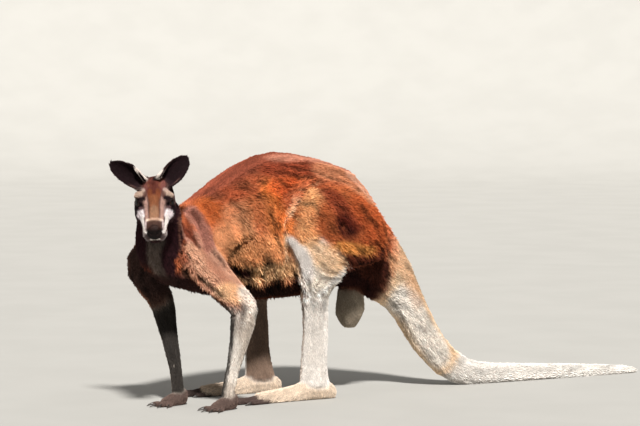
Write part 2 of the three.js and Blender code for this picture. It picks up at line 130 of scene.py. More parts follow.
SUN_FROM = (-0.20, -0.63, 0.75)  # the direction that the key light comes from
SUN_WIDTH, SUN_STRENGTH, SUN_COLOUR = 6, 6.0, (1.0, 0.97, 0.93)  # the width in degrees
SURROUND_COLOUR, SURROUND_STRENGTH = (0.93, 0.92, 0.91, 1), 0.40


def make_lights():
    """One broad soft key light from high on the camera's side, in a pale surround."""
    lamp = bpy.data.lights.new("key", "SUN")
    lamp.angle, lamp.energy, lamp.color = math.radians(SUN_WIDTH), SUN_STRENGTH, SUN_COLOUR
    light = bpy.data.objects.new("key", lamp)
    light.rotation_euler = Vector(SUN_FROM).to_track_quat("Z", "Y").to_euler()
    bpy.context.collection.objects.link(light)
    world = bpy.data.worlds.new("surround")
    world.use_nodes = True
    surround = world.node_tree.nodes["Background"]
    surround.inputs["Color"].default_value = SURROUND_COLOUR
    surround.inputs["Strength"].default_value = SURROUND_STRENGTH
    bpy.context.scene.world = world
    bpy.context.scene.view_settings.view_transform = "Standard"


# --------------------------------------------------------------------- materials' maths


def add_node(tree, kind, settings, inputs, output):
    """Adds a node with its settings and its inputs, which are values or other nodes' sockets."""
    made = tree.nodes.new(kind)
    for setting, value in settings.items():
        setattr(made, setting, value)
    for name, value in inputs.items():
        if isinstance(value, bpy.types.NodeSocket):
            tree.links.new(value, made.inputs[name])
        else:
            made.inputs[name].default_value = value
    return made.outputs[output]


class Level:
    """A number that varies over a surface: a socket that Python's operators work on."""

    def __init__(self, finish, socket):
        self.finish, self.socket = finish, socket

    def maths(self, operation, *values):
        inputs = dict(enumerate(values))
        return self.finish.node("ShaderNodeMath", {"operation": operation}, inputs)

    def __add__(self, other):
        return self.maths("ADD", self, other)

    def __rsub__(self, other):
        return self.maths("SUBTRACT", other, self)

    def __mul__(self, other):
        return self.maths("MULTIPLY", self, other)

    __radd__ = __add__
    __rmul__ = __mul__

    def fade(self, low, high):
        """Rises smoothly from 0 at low to 1 at high."""
        settings = {"interpolation_type": "SMOOTHSTEP"}
        return self.finish.node("ShaderNodeMapRange", settings, {0: self, 1: low, 2: high})


class Finish:
    """One material: its shader's fixed values, and the nodes that vary it over the surface."""

    def __init__(self, name, **fixed):
        self.material = bpy.data.materials.new(name)
        self.material.use_nodes = True
        self.tree = self.material.node_tree
        self.shader = self.tree.nodes["Principled BSDF"]
        for socket, value in fixed.items():
            self.shader.inputs[socket.replace("_", " ")].default_value = value

    def node(self, kind, settings, inputs, output=0):
        plain = {name: getattr(value, "socket", value) for name, value in inputs.items()}
        return Level(self, add_node(self.tree, kind, settings, plain, output))

    def place(self):
        return self.node("ShaderNodeTexCoord", {}, {}, "Object")

    def attribute(self, name, output="Fac"):
        return self.node("ShaderNodeAttribute", {"attribute_name": name}, {}, output)

    def noise(self, scale, detail=3.0, where=None):
        inputs = {"Vector": where or self.place(), "Scale": scale, "Detail": detail}
        return self.node("ShaderNodeTexNoise", {}, inputs)

    def stretched(self, scale):
        """The surface's own place, drawn out or squeezed along each axis."""
        return self.node("ShaderNodeMapping", {}, {"Vector": self.place(), "Scale": scale})

    def cells(self, scale):
        """How far every place is from the nearest of many strewn points."""
        return self.node("ShaderNodeTexVoronoi", {}, {"Vector": self.place(), "Scale": scale})

    def mix(self, share, first, second, blend="MIX"):
        settings = {"data_type": "RGBA", "blend_type": blend}
        return self.node("ShaderNodeMix", settings, {0: share, 6: first, 7: second}, 2)

    def scaled(self, colour, level):
        """A colour made lighter or darker by a number."""
        settings = {"operation": "SCALE"}
        return self.node("ShaderNodeVectorMath", settings, {0: colour, "Scale": level})

    def bump(self, height, distance, strength):
        inputs = {"Height": height, "Distance": distance, "Strength": strength}
        return self.node("ShaderNodeBump", {}, inputs)

    def feed(self, **levels):
        for socket, level in levels.items():
            self.tree.links.new(level.socket, self.shader.inputs[socket.replace("_", " ")])
        return self.material


def linear(code):
    """A colour written as #rrggbb, as the light it reflects."""
    channels = [int(code[i:i + 2], 16) / 255 for i in (1, 3, 5)]
    return np.array([c / 12.92 if c < 0.04045 else ((c + 0.055) / 1.055) ** 2.4 for c in channels])


def rgba(code):
    return (*linear(code), 1.0)


# ------------------------------------------------------------------------------ meshes


def column(items, attribute, width, kind=float):
    values = np.empty(len(items) * width, kind)
    items.foreach_get(attribute, values)
    return values.reshape(-1, width)


STREAK_POWER, STREAK_LEAST = 6, 0.01  # how strictly chance values run along the lay and not across
STREAK_WIDTH = 30  # rounds of spreading that give the level streaks are counted from


class Surface:
    """A mesh's points, triangles and edges as arrays, and what is worked out over them."""

    def __init__(self, piece):
        self.piece = piece
        mesh = piece.data
        mesh.calc_loop_triangles()
        self.points = column(mesh.vertices, "co", 3)
        self.triangles = column(mesh.loop_triangles, "vertices", 3, np.int32)
        self.edges = column(mesh.edges, "vertices", 2, np.int32)
        self.degree = np.bincount(self.edges.ravel(), minlength=len(self.points))

    def gathered(self, at_first, at_second):
        """Sums numbers of the edges at each point: one at an edge's first end and one at its second."""
        a, b = self.edges.T
        count = len(self.points)
        return np.bincount(a, at_first, count) + np.bincount(b, at_second, count)

    def around(self, values):
        """The average of each point's neighbours."""
        a, b = self.edges.T
        parts = values.reshape(len(self.points), -1).T
        sums = [self.gathered(part[b], part[a]) for part in parts]
        return (np.array(sums) / self.degree).T.reshape(values.shape)

    def spread(self, values, rounds):
        for _ in range(rounds):
            values = (values + self.around(values)) / 2
        return values

    def smooth(self, rounds, share=None):
        """Evens out facets without shrinking the form."""
        share = 1 if share is None else share[:, None]
        for _ in range(rounds):
            for step in (0.5, -0.52):
                self.points += (self.around(self.points) - self.points) * step * share

    def melt(self, share, rounds):
        """Levels steps and folds away, where the share is more than 0."""
        for _ in range(rounds):
            self.points += (self.around(self.points) - self.points) * 0.5 * share[:, None]

    def streaks(self, flow, rounds, chance):
        """Chance values drawn out along the coat's lay: about -1 in its furrows and 1 on its locks."""
        a, b = self.edges.T
        ahead = unit(self.points[b] - self.points[a])
        along = np.abs((ahead * unit(flow[a] + flow[b])).sum(1)) ** STREAK_POWER + STREAK_LEAST
        total = self.gathered(along, along)
        values = chance.normal(size=len(self.points))
        for _ in range(rounds):
            values = (values + self.gathered(along * values[b], along * values[a]) / total) / 2
        values -= self.spread(values, STREAK_WIDTH)
        return values / values.std()

    def normals(self):
        a, b, c = (self.points[self.triangles[:, i]] for i in range(3))
        face = np.cross(b - a, c - a)
        count = len(self.points)
        total = np.zeros((count, 3))
        for corner in self.triangles.T:
            for axis in range(3):
                total[:, axis] += np.bincount(corner, face[:, axis], count)
        return unit(total)

    def distances(self, start):
        """How far every point is from one of them, along the surface."""
        lengths = np.linalg.norm(np.diff(self.points[self.edges], axis=1)[:, 0], axis=1)
        links = [[] for _ in self.points]
        for (a, b), length in zip(self.edges.tolist(), lengths.tolist()):
            links[a].append((b, length))
            links[b].append((a, length))
        far = [math.inf] * len(links)
        far[start] = 0.0
        queue = [(0.0, start)]
        while queue:
            reached, here = heapq.heappop(queue)
            if reached > far[here]:
                continue
            for there, length in links[here]:
                if reached + length < far[there]:
                    far[there] = reached + length
                    heapq.heappush(queue, (far[there], there))
        return np.array(far)

    def slope(self, values):
        """The direction in which a number rises over the surface."""
        a, b = self.edges.T
        run = self.points[b] - self.points[a]
        rise = (values[b] - values[a]) / np.maximum((run ** 2).sum(1), 1e-12)
        return np.array([self.gathered(rise * part, rise * part) for part in run.T]).T

    def write(self):
        self.piece.data.vertices.foreach_set("co", self.points.ravel())
        self.piece.data.update()


def piece_of(name, mesh):
    piece = bpy.data.objects.new(name, mesh)
    bpy.context.collection.objects.link(piece)
    return piece


def shape_of(mesh):
    shape = bmesh.new()
    shape.from_mesh(mesh)
    return shape


def mesh_of(name, shape):
    """A mesh of a shape, which is used up."""
    mesh = bpy.data.meshes.new(name)
    shape.to_mesh(mesh)
    shape.free()
    return mesh


def shade_smooth(mesh):
    mesh.polygons.foreach_set("use_smooth", [True] * len(mesh.polygons))


def apply_modifiers(piece):
    evaluated = piece.evaluated_get(bpy.context.evaluated_depsgraph_get())
    done = bpy.data.meshes.new_from_object(evaluated)
    piece.modifiers.clear()
    bare, piece.data = piece.data, done
    bpy.data.meshes.remove(bare)


SAME_PLACE = 1e-5  # corners nearer to each other than this are one


def merged_copy(node, growth=0.0):
    """A node's shape as one closed mesh, grown a little so that it meets its neighbours."""
    shape = shape_of(NODES[node].data)
    bmesh.ops.remove_doubles(shape, verts=shape.verts, dist=SAME_PLACE)
    shape.normal_update()
    for point in shape.verts:
        point.co += point.normal * growth
    return shape


def joined(name, shapes):
    """One piece from several shapes, which are used up."""
    whole = bmesh.new()
    for shape in shapes:
        part = mesh_of("part", shape)
        whole.from_mesh(part)
        bpy.data.meshes.remove(part)
    return piece_of(name, mesh_of(name, whole))


def fuse(piece, pitch):
    """Draws one even skin around everything in a piece."""
    fused = piece.modifiers.new("fuse", "REMESH")
    fused.mode, fused.voxel_size, fused.adaptivity = "VOXEL", pitch, 0
    apply_modifiers(piece)


def smoothed_shape(name, nodes, pitch, rounds, melting=None):
    """The solids of some nodes fused and smoothed, as a shape to join to others."""
    piece = joined(name, [merged_copy(node, SEAM_GROWTH) for node in nodes])
    fuse(piece, pitch)
    surface = Surface(piece)
    surface.smooth(rounds)
    if melting:
        surface.melt(melting(in_body(surface.points)), MELT_ROUNDS)
    surface.write()
    mesh = piece.data
    shape = shape_of(mesh)
    bpy.data.objects.remove(piece)
    bpy.data.meshes.remove(mesh)
    return shape


def split_edges(piece, chosen, rounds, **how):
    """Halves the chosen edges, round after round, and keeps every face a triangle."""
    shape = shape_of(piece.data)
    for _ in range(rounds):
        edges = [edge for edge in shape.edges if chosen(edge)]
        bmesh.ops.subdivide_edges(shape, edges=edges, cuts=1, **how)
        bmesh.ops.triangulate(shape, faces=[face for face in shape.faces if len(face.verts) > 3])
    shape.to_mesh(piece.data)
    shape.free()


def refine(piece, centre, radius, rounds):
    """Splits the faces near a place into smaller ones."""
    centre = Vector(centre)

    def is_near(edge):
        return all((corner.co - centre).length < radius for corner in edge.verts)

    split_edges(piece, is_near, rounds, use_grid_fill=True)


# -------------------------------------------------------------------------------- skin

LIMB_LENGTHS = ("upper_arm", "forearm", "thigh", "shank")
TOES = ("fourth_toe", "fifth_toe", "second_third_toe")
HEAD_PARTS = ("head", "lower_jaw", "nose")
BODY_PARTS = ("trunk", "tail_base", "tail_middle", "tail_end", "scrotum", "neck")
PAW_PARTS = ("forepaw", "hind_foot", *TOES)


def on_both(parts):
    return [f"{side}_{part}" for side in SIDES for part in parts]


FLESH = [*BODY_PARTS, *HEAD_PARTS, *on_both((*LIMB_LENGTHS, *PAW_PARTS, "ear"))]

# The coat on each part: a tuft's length and width in millimetres, how far it stands off the skin in
# degrees, and how woolly it is.
COAT = {
    "trunk": (13, 3.1, 15, 0.85),
    "neck": (12, 2.9, 12, 0.3),
    "head": (6.5, 1.3, 11, 0.1),
    "lower_jaw": (6.5, 1.3, 11, 0.1),
    "nose": (3.5, 1.2, 10, 0.0),
    "ear": (8, 1.9, 8, 0.0),
    "upper_arm": (11, 3.0, 13, 0.7),
    "forearm": (9, 2.5, 11, 0.3),
    "forepaw": (7, 2.2, 9, 0.1),
    "thigh": (12, 3.0, 15, 0.85),
    "shank": (9, 2.5, 11, 0.3),
    "hind_foot": (9, 2.6, 9, 0.1),
    "toe": (6, 2.2, 8, 0.0),
    "scrotum": (7, 2.6, 9, 0.2),
    "tail_base": (12, 3.1, 12, 0.35),
    "tail_middle": (10, 2.9, 11, 0.3),
    "tail_end": (9, 3.0, 10, 0.3),
}

# Where the coat differs from its part's own, on both sides: the points of a line and the reach round
# it in the body's millimetres, and there the tufts' length as a share, degrees more lift, and wool.
FLEECE = [
    ([(-440, 0, 640), (-250, 0, 722), (-100, 0, 735), (40, 0, 705), (120, -20, 640)],
     (90, 90, 46), 0.8, -5, 0.25),
    ([(-490, -120, 570), (-462, -160, 500), (-425, -205, 430), (-385, -220, 380)], 58, 0.6, -4, 0.1),
    ([(-430, -130, 590), (-395, -150, 530)], 56, 0.75, -3, 0.3),
    ([(-330, -130, 340), (-180, -135, 345), (-110, -110, 335)], (60, 60, 44), 1.6, 8, 1.3),
    ([(-340, -165, 440), (-280, -150, 400)], (50, 60, 36), 1.3, 8, 1.2),
    ([(-530, -165, 440), (-505, -190, 400), (-460, -215, 345)], (26, 46, 40), 1.15, 9, 1.2),
    ([(-375, -235, 325), (-360, -238, 300)], 42, 1.25, 8, 0.8),
    ([(120, -150, 440), (70, -160, 425), (20, -176, 420), (-20, -188, 432)], 26, 1.4, 12, 1.3),
    ([(-188, -165, 488), (-172, -176, 455), (-150, -178, 420)], 26, 0.6, -4, 0.1),
    ([(-100, -190, 430), (-60, -185, 405), (-20, -180, 420)], (50, 50, 56), 1.1, 6, 0.55),
    ([(-20, -178, 404), (-34, -172, 368)], 24, 1.9, 16, 0.5),
    ([(-188, -165, 488), (-172, -176, 455), (-150, -178, 420)], 20, 0.6, -4, 0.1),
    ([(-95, -140, 180), (-95, -130, 60)], (60, 70, 60), 0.8, 0, 0.1),
]
EAR_GROWTH = 1.5 * MM  # keeps a thin ear whole while the skin is drawn, and is taken off again
SEAM_GROWTH = 0.4 * MM
MELT_ROUNDS = 70
BODY_PITCH, FINE_PITCH, SKIN_PITCH = 6 * MM, 2.5 * MM, 3 * MM  # the grids that skins are drawn on
LONGEST_EDGE = 11.5 * MM
EYE_ZONE = 27  # the skin is finest within these millimetres of an eye's centre
MUZZLE_END, MUZZLE_ZONE = (122, 0, -4), 44  # and finer round the end of the muzzle


def coat_key(node):
    """The entry of COAT that a node takes."""
    return next(key for key in COAT if node == key or node.endswith("_" + key))


def make_skin():
    """One mesh over all the flesh, finest on the face."""
    flesh = [*BODY_PARTS, *on_both(LIMB_LENGTHS)]
    body = smoothed_shape("body", flesh, BODY_PITCH, rounds=40, melting=haunches)
    head = smoothed_shape("head", [*HEAD_PARTS, *on_both(("eye",))], FINE_PITCH, rounds=24)
    paws = smoothed_shape("paws", on_both(PAW_PARTS), FINE_PITCH, rounds=6)
    ears = [merged_copy(node, EAR_GROWTH) for node in on_both(("ear",))]
    skin = joined("skin", [body, head, paws, *ears])
    fuse(skin, SKIN_PITCH)
    surface = Surface(skin)
    surface.smooth(6, 1 - EARS_KEPT * on_ears(in_head(surface.points)))
    surface.write()
    thin_out(skin)
    split_edges(skin, lambda edge: edge.calc_length() > LONGEST_EDGE, rounds=3)
    for name in SIDES:
        refine(skin, box_middle(f"{name}_eye"), EYE_ZONE * MM, rounds=2)
    refine(skin, from_head(MUZZLE_END), MUZZLE_ZONE * MM, rounds=1)
    return skin


# The ears, which smoothing mostly leaves alone: out from the middle of the skull, and up.
SKULL_MIDDLE, EARS_OUT, EARS_UP, EARS_KEPT = (-30, 0, 10), (66, 82), (20, 44), 0.85


def on_ears(head):
    """1 on the ears and 0 on the head, for places in the head's millimetres."""
    out = np.linalg.norm(head - SKULL_MIDDLE, axis=1)
    return fade(out, *EARS_OUT) * fade(head[:, 2], *EARS_UP)


# Where the thigh runs into the rump, in the body's millimetres: from none of it to all of it, at the
# front, the rear, the bottom, the top and out from the spine.
HAUNCH = {"front": (-75, -15), "rear": (235, 190), "bottom": (415, 470), "top": (700, 640), "out": (45, 80)}


def haunches(places):
    """1 where the thigh runs into the rump without a border, and 0 elsewhere."""
    x, y, z = places.T
    along = fade(x, *HAUNCH["front"]) * fade(x, *HAUNCH["rear"])
    return along * fade(z, *HAUNCH["bottom"]) * fade(z, *HAUNCH["top"]) * fade(np.abs(y), *HAUNCH["out"])


HEAD_REACH = 0.19  # the faces within this distance of the head's own place stay small
SKIN_SHARE = 0.16  # of its faces that the skin keeps elsewhere
PAW_THINNING = 0.4  # how much of that the paws take part in
PAW_HEIGHT = 0.07  # the paws are below this, and before the next
PAWS_END = 60  # along the body, in millimetres


def thin_out(skin):
    """Takes faces out of the broad parts of the skin, where the coat hides them."""
    points = column(skin.data.vertices, "co", 3)
    on_head = np.linalg.norm(points - HEAD_AT, axis=1) < HEAD_REACH
    on_paws = (points[:, 2] < PAW_HEIGHT) & (points[:, 0] < from_body((PAWS_END, 0, 0))[0])
    broad = skin.vertex_groups.new(name="broad")
    for chosen, weight in ((~on_head & ~on_paws, 1.0), (on_paws & ~on_head, PAW_THINNING)):
        broad.add(np.nonzero(chosen)[0].tolist(), weight, "REPLACE")
    fewer = skin.modifiers.new("fewer", "DECIMATE")
    fewer.ratio, fewer.vertex_group, fewer.vertex_group_factor = SKIN_SHARE, broad.name, 1.0
    fewer.use_collapse_triangulate = True
    apply_modifiers(skin)
    skin.vertex_groups.clear()


def nearest_nodes(points):
    """For each point, the number in FLESH of the solid that it lies nearest to."""
    corners, faces, owners = [], [], []
    for number, node in enumerate(FLESH):
        shape = NODES[node].data
        start = len(corners)
        corners += [v.co[:] for v in shape.vertices]
        faces += [tuple(start + i for i in face.vertices) for face in shape.polygons]
        owners += [number] * len(shape.polygons)
    tree = BVHTree.FromPolygons(corners, faces)
    return np.array([owners[tree.find_nearest(point)[2]] for point in points.tolist()])


# Lumps and hollows of the head in its own millimetres: place, reach, and rise. They are on both
# sides, but for one whose place is on the right.
FACE_FORMS = {
    "brow ridge": ((6, 40, 42), (20, 16, 10), 4.2),
    "eye socket": ((26, 42, 26), (17, 13, 12), -3.2),
    "right brow end": ((-6, -50, 42), (15, 12, 12), 7.0),
    "temple hollow": ((-20, 46, 34), (20, 14, 16), -2.5),
    "hollow before the eye": ((44, 31, 24), (16, 9, 10), -3.0),
    "hollow below the eye": ((26, 52, -8), (18, 12, 8), -2.0),
    "cheekbone": ((14, 55, -4), (21, 10, 19), 7.0),
    "jaw muscle": ((-16, 54, -38), (22, 14, 18), 2.4),
    "cheek hollow": ((68, 38, -20), (18, 12, 10), -2.4),
    "cheek ridge": ((72, 37, -4), (30, 8, 7), 1.0),
    "lip pad": ((110, 27, -12), (18, 12, 12), 2.8),
    "bridge edge": ((56, 14, 40), (38, 6, 8), 1.6),
    "bridge groove": ((56, 21, 35), (34, 5, 7), -1.6),
    "muzzle side": ((84, 27, 18), (20, 8, 9), -2.0),
    "nose ring": ((110, 14, 27), (7, 18, 8), 1.4),
    "chin": ((120, 8, -36), (14, 14, 9), 2.0),
    "jaw edge": ((50, 24, -52), (34, 9, 9), 1.6),
    "throat hollow": ((8, 0, -64), (28, 16, 12), -3.0),
    "forehead furrow": ((8, 0, 58), (30, 4, 10), -1.6),
    "crown": ((-40, 0, 66), (26, 22, 12), 1.5),
    "ear root": ((-44, 40, 50), (14, 12, 14), 2.0),
}
# The mouth's line: its corner, forwards and up, its rise towards the nose, and where it opens on the
# way there; and then the depth and half-width of the slit, and the height, half-width and distance
# from the slit of the lips.
MOUTH_CORNER, MOUTH_RISE, MOUTH_OPENS = (60, -31), 0.14, (-4, 10)
SLIT_DEPTH, SLIT_WIDTH = 2.4, 1.5
LIP_HEIGHT, LIP_WIDTH, LIP_AWAY = 0.9, 2.2, 4.5
NOSTRIL = [(139, 8, 2), (139, 12, 6), (134, 18, 8), (126, 22, 5)]
NOSTRIL_DEPTH, NOSTRIL_WIDTH = 5.5, 3.0

# Folds and hollows of the body, on both sides: the points of a line and the reach round it in the
# body's millimetres, and the rise there.
BODY_FORMS = {
    "neck ridge": ([(-534, -136, 590), (-537, -157, 545), (-523, -147, 512), (-505, -164, 488)], 8, 8),
    "neck furrow": ([(-516, -118, 570), (-507, -145, 526), (-496, -166, 492), (-490, -175, 478)], 8, -12),
    "second ridge": ([(-493, -76, 575), (-490, -129, 539), (-485, -156, 509), (-481, -180, 480)], 8, 9),
    "fan hollow": ([(-478, -100, 570), (-472, -130, 545), (-467, -154, 519), (-467, -170, 494),
                    (-465, -188, 470)], 8, -9),
    "shoulder ridge": ([(-464, -98, 578), (-453, -132, 552), (-447, -150, 530), (-445, -168, 498),
                        (-446, -188, 462), (-425, -210, 430)], 10, 11),
    "shoulder back edge": ([(-436, -95, 590), (-427, -135, 556), (-420, -160, 520), (-420, -180, 478)],
                           11, -9),
    "arm crease": ([(-452, -192, 462), (-430, -206, 436), (-408, -216, 404)], 6, -8),
    "arm pit": ([(-316, -163, 488), (-346, -164, 466), (-366, -163, 440), (-382, -162, 410)], 13, -17),
    "under the arm": ([(-372, -152, 402), (-330, -144, 396), (-264, -132, 378)], 17, -12),
    "belly edge": ([(-320, -140, 350), (-250, -140, 342), (-180, -140, 352)], 22, 5),
    "flank swell": ([(-300, -160, 500), (-280, -160, 450)], 50, 5),
    "flank before the thigh": ([(-118, -104, 664), (-166, -126, 630), (-209, -143, 589),
                                (-234, -153, 540), (-232, -156, 490)], 20, -16),
    "thigh front": ([(-92, -109, 656), (-124, -122, 635), (-152, -138, 605), (-178, -150, 565),
                     (-193, -160, 526), (-193, -160, 480)], 15, 13),
    "thigh muscle": ([(-105, -140, 610), (-128, -172, 550), (-120, -186, 500)], 34, 5),
    "thigh valley": ([(-66, -130, 645), (-50, -164, 613), (-32, -190, 566), (-14, -200, 526)], 17, -13),
    "thigh pit": ([(-18, -200, 520), (-8, -200, 498)], 18, -20),
    "haunch swell": ([(50, -165, 590), (92, -172, 540), (84, -170, 480), (30, -185, 455)], 28, 8),
    "thigh lower edge": ([(124, -140, 452), (84, -155, 430), (26, -176, 424), (-20, -190, 432)], 12, 7),
    "under the thigh": ([(170, -85, 400), (100, -100, 385), (33, -130, 385), (-10, -150, 385)], 22, -13),
    "belly slit": ([(-200, -162, 500), (-187, -154, 456), (-166, -158, 419), (-146, -154, 350),
                    (-140, -130, 325)], 8, -10),
    "knee": ([(-182, -170, 478), (-166, -178, 440)], 15, 4),
    "calf band": ([(-10, -177, 398), (-54, -178, 357), (-90, -174, 322)], 9, 4),
    "calf hollow": ([(-96, -186, 400), (-94, -182, 355), (-100, -170, 318)], 13, -4),
    "shin ridge": ([(-150, -158, 330), (-134, -130, 220), (-128, -108, 110)], 13, 3),
    "shank groove": ([(-101, -166, 317), (-94, -145, 244), (-91, -134, 184), (-91, -128, 124),
                      (-94, -126, 62)], 7, -5),
    "heel tendon": ([(-56, -155, 300), (-52, -138, 240), (-52, -128, 180), (-50, -120, 90)], 12, 4),
    "elbow": ([(-372, -236, 322), (-358, -236, 300)], 18, 5),
}


def distance_to_line(points, line):
    """How far points are from a chain of straight lines."""
    line = np.array(line if len(line) > 1 else line * 2, float)
    best = np.full(len(points), np.inf)
    for start, end in zip(line[:-1], line[1:]):
        run = end - start
        share = np.clip((points - start) @ run / max(run @ run, 1e-9), 0, 1)
        best = np.minimum(best, np.linalg.norm(points - start - share[:, None] * run, axis=1))
    return best


def sculpt_head(surface):
    near = np.nonzero(np.linalg.norm(surface.points - HEAD_AT, axis=1) < HEAD_REACH)[0]
    normals = surface.normals()[near]
    places = in_head(surface.points[near])
    push = np.zeros(len(near))
    for at, reach, rise in FACE_FORMS.values():
        for side in SIDES.values() if at[1] >= 0 else (1,):
            offset = (places - mirrored(at, side)) / reach
            push += rise * np.exp(-(offset ** 2).sum(1)) / (2 if at[1] == 0 else 1)
    forwards = places[:, 0] - MOUTH_CORNER[0]
    slit = places[:, 2] - MOUTH_CORNER[1] - MOUTH_RISE * forwards
    opened = fade(forwards, *MOUTH_OPENS)
    push -= SLIT_DEPTH * np.exp(-(slit / SLIT_WIDTH) ** 2) * opened
    push += LIP_HEIGHT * np.exp(-((np.abs(slit) - LIP_AWAY) / LIP_WIDTH) ** 2) * opened
    for side in SIDES.values():
        line = [mirrored(point, side) for point in NOSTRIL]
        push -= NOSTRIL_DEPTH * np.exp(-(distance_to_line(places, line) / NOSTRIL_WIDTH) ** 2)
    surface.points[near] += normals * push[:, None] * MM


# The upper rim of the right ear, in the head's millimetres: from its middle down to the crown; how
# far round it the skin follows, and from where to where along it; and the moves of its middle and of
# its end at the crown.
RIGHT_RIM = [(-54, -48, 97), (-46, -36, 95), (-49, -26, 84), (-43, -15, 78), (-40, -8, 72)]
RIM_REACH, RIM_START, RIM_TO_CROWN = (7, 26), (-62, -38), (-48, -8)
RIM_MOVES = np.array(((0, -4, -8), (0, -18, -7)))
TUFT_ROLL, TUFT_ROLL_WIDTH = 2.5, 7  # the soft swelling under the pale hair of the ears' roots


def draw_in_the_rim(surface):
    """Draws the upper rim of the right ear in towards its cup, and swells both ears' roots."""
    places = in_head(surface.points)
    share = 1 - fade(distance_to_line(places, RIGHT_RIM), *RIM_REACH)
    share = share * fade(places[:, 1], *RIM_START)
    pull = RIM_MOVES[0] + (RIM_MOVES[1] - RIM_MOVES[0]) * fade(places[:, 1], *RIM_TO_CROWN)[:, None]
    surface.points += from_head(pull * share[:, None]) - HEAD_AT
    places, normals = in_head(surface.points), surface.normals()
    for line in EAR_TUFTS.values():
        roll = TUFT_ROLL * np.exp(-(distance_to_line(places, line) / TUFT_ROLL_WIDTH) ** 2)
        surface.points += normals * (roll * MM)[:, None]


SCROTUM_SWELL = 11  # further out than its solid
FOOT_BACK = 80  # how far the right hind foot stands behind the left
HIP_HEIGHT, LEAN_HEIGHT = 620, 420  # the right leg leans back over this height, from the hip down


def folded(places, of):
    """The like places on the left side, for a form or marking that both sides have."""
    left = places.copy()
    left[:, 1] = -np.abs(places[:, 1])
    right_leg = of["right_thigh"] + of["right_shank"] + of["right_hind_foot"]
    left[:, 0] += FOOT_BACK * fade(HIP_HEIGHT - places[:, 2], 0, LEAN_HEIGHT) * right_leg
    return left


def sculpt_body(surface, of):
    normals = surface.normals()
    places = folded(in_body(surface.points), of)
    on_body = 1 - of["head"] - of["lower_jaw"] - of["nose"] - of["left_ear"] - of["right_ear"]
    push = np.zeros(len(places))
    for line, reach, rise in BODY_FORMS.values():
        push += rise * np.exp(-(distance_to_line(places, line) / reach) ** 2)
    push += SCROTUM_SWELL * of["scrotum"]
    surface.points += normals * (push * on_body)[:, None] * MM


# The opening between an eye's lids, in the eye's own axes: out of the head, along the lids towards
# the nose, and up.
GAZE = (0.56, 0.76, 0.33)
TOWARDS_NOSE = (0.80, -0.56, -0.10)
LID_REACH = (54, 33)  # degrees from the middle of the opening to its corners, and to its upper edge
LOWER_LID = 0.82  # the lower lid's arc as a share of the upper one's
LID_THICKNESS = 2.4
# Where the gap ends, where the lid has its full thickness, and where it runs out into the face, as
# lid_opening counts; and from where a place faces the gaze too little for that to where it does.
GAP_END, LID_FULL, LID_OUT = (0.94, 1.08), (0.95, 1.2), (1.25, 2.3)
LID_FACING, GAP_FACING = (0.05, 0.35), (0.1, 0.3)
LID_GAP = 0.2  # how far the lids' edge dips below the eyeball's surface
BEHIND_EYE = 3.0  # and how far the skin between the lids does


def eye_axes(side):
    out = unit(mirrored(GAZE, side))
    along = mirrored(TOWARDS_NOSE, side)
    along = unit(along - out * (along @ out))
    up = np.cross(along, out) * side
    return np.array((out, along, up))


def eye_centre(side):
    name = "left" if side > 0 else "right"
    return in_head(box_middle(f"{name}_eye"))


def lid_opening(directions):
    """Below 1 between the lids and above 1 outside them, for directions in the eye's own axes."""
    across = np.degrees(np.arctan2(directions[:, 1], directions[:, 0]))
    height = np.degrees(np.arctan2(directions[:, 2], directions[:, 0]))
    almond = np.clip(1 - (across / LID_REACH[0]) ** 2, 0, 1) ** 0.75
    limit = LID_REACH[1] * np.where(height > 0, 1.0, LOWER_LID) * almond
    beyond = np.abs(across) / LID_REACH[0]
    return np.where(beyond < 1, np.abs(height) / np.maximum(limit, 1e-3), 2 * beyond + np.abs(height) / 20)


def sculpt_lids(surface):
    for side in SIDES.values():
        centre = eye_centre(side)
        places = in_head(surface.points) - centre
        reach = np.linalg.norm(places, axis=1)
        near = np.nonzero(reach < EYE_ZONE)[0]
        directions = unit(places[near] @ eye_axes(side).T)
        opening = lid_opening(directions)
        radius = EYE_RADIUS / MM
        inside = 1 - fade(opening, *GAP_END)
        on_lid = (1 - fade(opening, *LID_OUT)) * fade(directions[:, 0], *LID_FACING)
        lid = radius + LID_THICKNESS * fade(opening, *LID_FULL) - LID_GAP
        new = reach[near] + (lid - reach[near]) * on_lid
        new = new + (radius - BEHIND_EYE - new) * inside * fade(directions[:, 0], *GAP_FACING)
        moved = centre + unit(places[near]) * new[:, None]
        surface.points[near] = from_head(moved)


SOLE_HEIGHTS = (4 * MM, 16 * MM)  # from the thin coat of the soles to the full one
SOLE_COAT = 0.25
LOWEST = 0.4 * MM  # above the ground
COAT_SETTLES = 0.85  # of the height that a tuft's length and lift give


def set_in(surface, weights):
    """Moves the skin inside the solids by the depth of the coat over it."""
    depth = np.array([coat_depth(node) for node in FLESH])
    inset = surface.spread(weights @ depth, 6)
    above_sole = fade(surface.points[:, 2], *SOLE_HEIGHTS)
    inset = inset * (SOLE_COAT + (1 - SOLE_COAT) * above_sole)
    surface.points -= surface.normals() * inset[:, None]
    surface.points[:, 2] = np.maximum(surface.points[:, 2], LOWEST)


def coat_depth(node):
    if node.endswith("ear"):
        return 0.6 * EAR_GROWTH
    length, _, lift, _ = COAT[coat_key(node)]
    return COAT_SETTLES * length * math.sin(math.radians(lift)) * MM


# ---------------------------------------------------------------------------- markings

# Colours as the coat shows them; COAT_GAIN gives back the light that its tufts keep from each other.
COAT_GAIN = 1.5
WHITE = "#f6eee8"
BLACK = "#150d0d"

